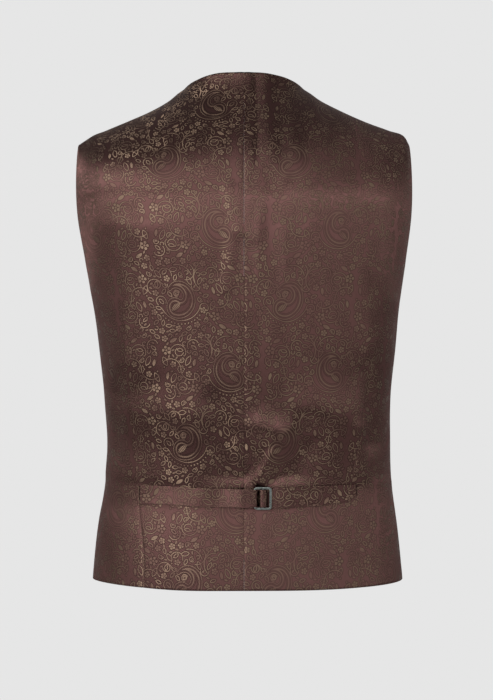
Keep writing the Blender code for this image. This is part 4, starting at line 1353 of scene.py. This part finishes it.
left_bar_x = SLIDE_X + 0.5 * (SLIDE_WIDTH - SLIDE_BAR)
crest = SLIDE_RISE + WRAP_RADIUS
left_route = [(x, STRAP_LIES) for x in np.linspace(STRAP_LEFT_END, 0.0300, 12)]
left_route += [(x, STRAP_LIES + share * (crest - STRAP_LIES)) for x, share in CLIMB_TO_SLIDE]
left_route += half_circle(left_bar_x, SLIDE_RISE, WRAP_RADIUS, 9)
left_route += [(left_bar_x + 0.4 * TURNED_UNDER, SLIDE_RISE - WRAP_RADIUS)]
left_route += [(left_bar_x + TURNED_UNDER, SLIDE_RISE - WRAP_RADIUS)]
right_route = [(x, STRAP_LIES) for x in np.linspace(STRAP_RIGHT_END, SLIDE_X - TAIL, 12)]
right_route += [
    (SLIDE_X + x, STRAP_LIES + share * (crest - STRAP_LIES)) for x, share in OVER_MIDDLE_BAR
]
right_route += [(SLIDE_X + 0.6 * TAIL, STRAP_LIES), (SLIDE_X + TAIL, STRAP_LIES)]
for name, route, wave in (
    ("strap_left", left_route, left_wave), ("strap_right", right_route, right_wave)
):
    half_width = STRAP_HALF[name]
    mesh = band_mesh(name + "_satin", route, half_width, wave)
    piece = add_piece(name + "_satin", mesh, satin, (name,))


# ---- Slide ---------------------------------------------------------------------------------------
# A small three-bar slide of dark plated metal, with the left strap half sewn round one bar and the
# right one threaded over the middle bar, so that the waist can be drawn in.

def plated_metal():
    material, tree = new_material("gunmetal_plating")
    place = add_node(tree, "TexCoord").outputs["Object"]
    wear = add_node(tree, "TexNoise", {"Vector": place, "Scale": 420.0, "Detail": 4.0}).outputs["Fac"]
    colour = two_tones(tree, wear, 0.35, 0.75, (0.125, 0.142, 0.132), (0.250, 0.272, 0.260))
    polish = add_node(tree, "MapRange", {"Value": wear, "To Min": 0.22, "To Max": 0.38})
    entries = {"Base Color": colour, "Metallic": 1.0, "Roughness": polish.outputs[0]}
    metal = add_node(tree, "BsdfPrincipled", entries)
    add_node(tree, "OutputMaterial", {0: metal.outputs[0]})
    return material


slide = bpy.data.objects["buckle"]
for kept in slide.material_slots:
    kept.material = plated_metal()


# ---- Floor, light and camera ---------------------------------------------------------------------
# A pale floor far below, white studio surroundings, and large soft lamps in front and to the left.

CAMERA_AWAY = 2.5
CAMERA_HEIGHT = -0.2515
LENS = 117.96
FLOOR_BELOW = 1.40
WALL_SEEN = 0.791         # the studio's wall as the camera sees it,
LIGHT_AROUND = 0.352      # and the light that it gives

bm = bmesh.new()
bmesh.ops.create_grid(bm, x_segments=1, y_segments=1, size=4.0)
floor_mesh = bpy.data.meshes.new("studio_floor")
bm.to_mesh(floor_mesh)
bm.free()
floor_mesh.transform(Matrix.Translation((0.0, 0.0, -FLOOR_BELOW)))
floor_paint, floor_tree = new_material("pale_floor")
matt = add_node(floor_tree, "BsdfPrincipled", {"Base Color": (0.78, 0.78, 0.78, 1.0), "Roughness": 0.9})
add_node(floor_tree, "OutputMaterial", {0: matt.outputs[0]})
floor_mesh.materials.append(floor_paint)
floor = bpy.data.objects.new("studio_floor", floor_mesh)
bpy.context.scene.collection.objects.link(floor)

scene = bpy.context.scene
scene.view_settings.view_transform = "Standard"
world = bpy.data.worlds.new("white_studio")
scene.world = world
world.use_nodes = True
air = world.node_tree
seen = air.nodes["Background"]
seen.inputs[0].default_value = (*[WALL_SEEN] * 3, 1.0)
around = add_node(air, "Background", {0: (*[LIGHT_AROUND] * 3, 1.0)})
path = add_node(air, "LightPath")
entries = {0: path.outputs["Is Camera Ray"], 1: around.outputs[0], 2: seen.outputs[0]}
either = add_node(air, "MixShader", entries)
air.links.new(either.outputs[0], air.nodes["World Output"].inputs[0])

Lamp = namedtuple("Lamp", "name azimuth elevation wide tall radiance")
LAMPS = [
    # azimuth is counted from the back's own direction, positive to the wearer's left
    Lamp("softbox_left", 31.5, 16.2, 1.27, 0.98, 6.30),
    Lamp("softbox_left_high", 71.5, 39.2, 1.46, 0.86, 6.10),
    Lamp("softbox_over_camera", 0.0, 30.0, 1.04, 1.61, 2.25),
    Lamp("softbox_right_low", -31.5, -3.0, 1.32, 0.56, 2.70),
    Lamp("softbox_left_low", 31.5, -10.8, 1.30, 0.66, 2.40),
    Lamp("softbox_right", -71.5, 16.2, 1.81, 0.98, 1.45),
]
LAMPS_ROUND = Vector((0.0, 0.10, -0.22))
LAMPS_AWAY = 2.30
for lamp in LAMPS:
    light = bpy.data.lights.new(lamp.name, "AREA")
    light.shape = "RECTANGLE"
    light.size, light.size_y = lamp.wide, lamp.tall
    light.energy = lamp.radiance * math.pi * lamp.wide * lamp.tall
    lit = bpy.data.objects.new(lamp.name, light)
    azimuth, elevation = math.radians(lamp.azimuth), math.radians(lamp.elevation)
    level = math.cos(elevation)
    from_cloth = Vector((math.sin(azimuth) * level, math.cos(azimuth) * level, math.sin(elevation)))
    lit.location = LAMPS_ROUND + from_cloth * LAMPS_AWAY
    lit.rotation_euler = (-from_cloth).to_track_quat("-Z", "Y").to_euler()
    lit.visible_camera = False
    scene.collection.objects.link(lit)

camera_data = bpy.data.cameras.new("camera")
camera_data.lens = LENS
camera = bpy.data.objects.new("camera", camera_data)
camera.location = (0.0, CAMERA_AWAY, CAMERA_HEIGHT)
camera.rotation_euler = (math.pi / 2, 0.0, math.pi)
scene.collection.objects.link(camera)
scene.camera = camera
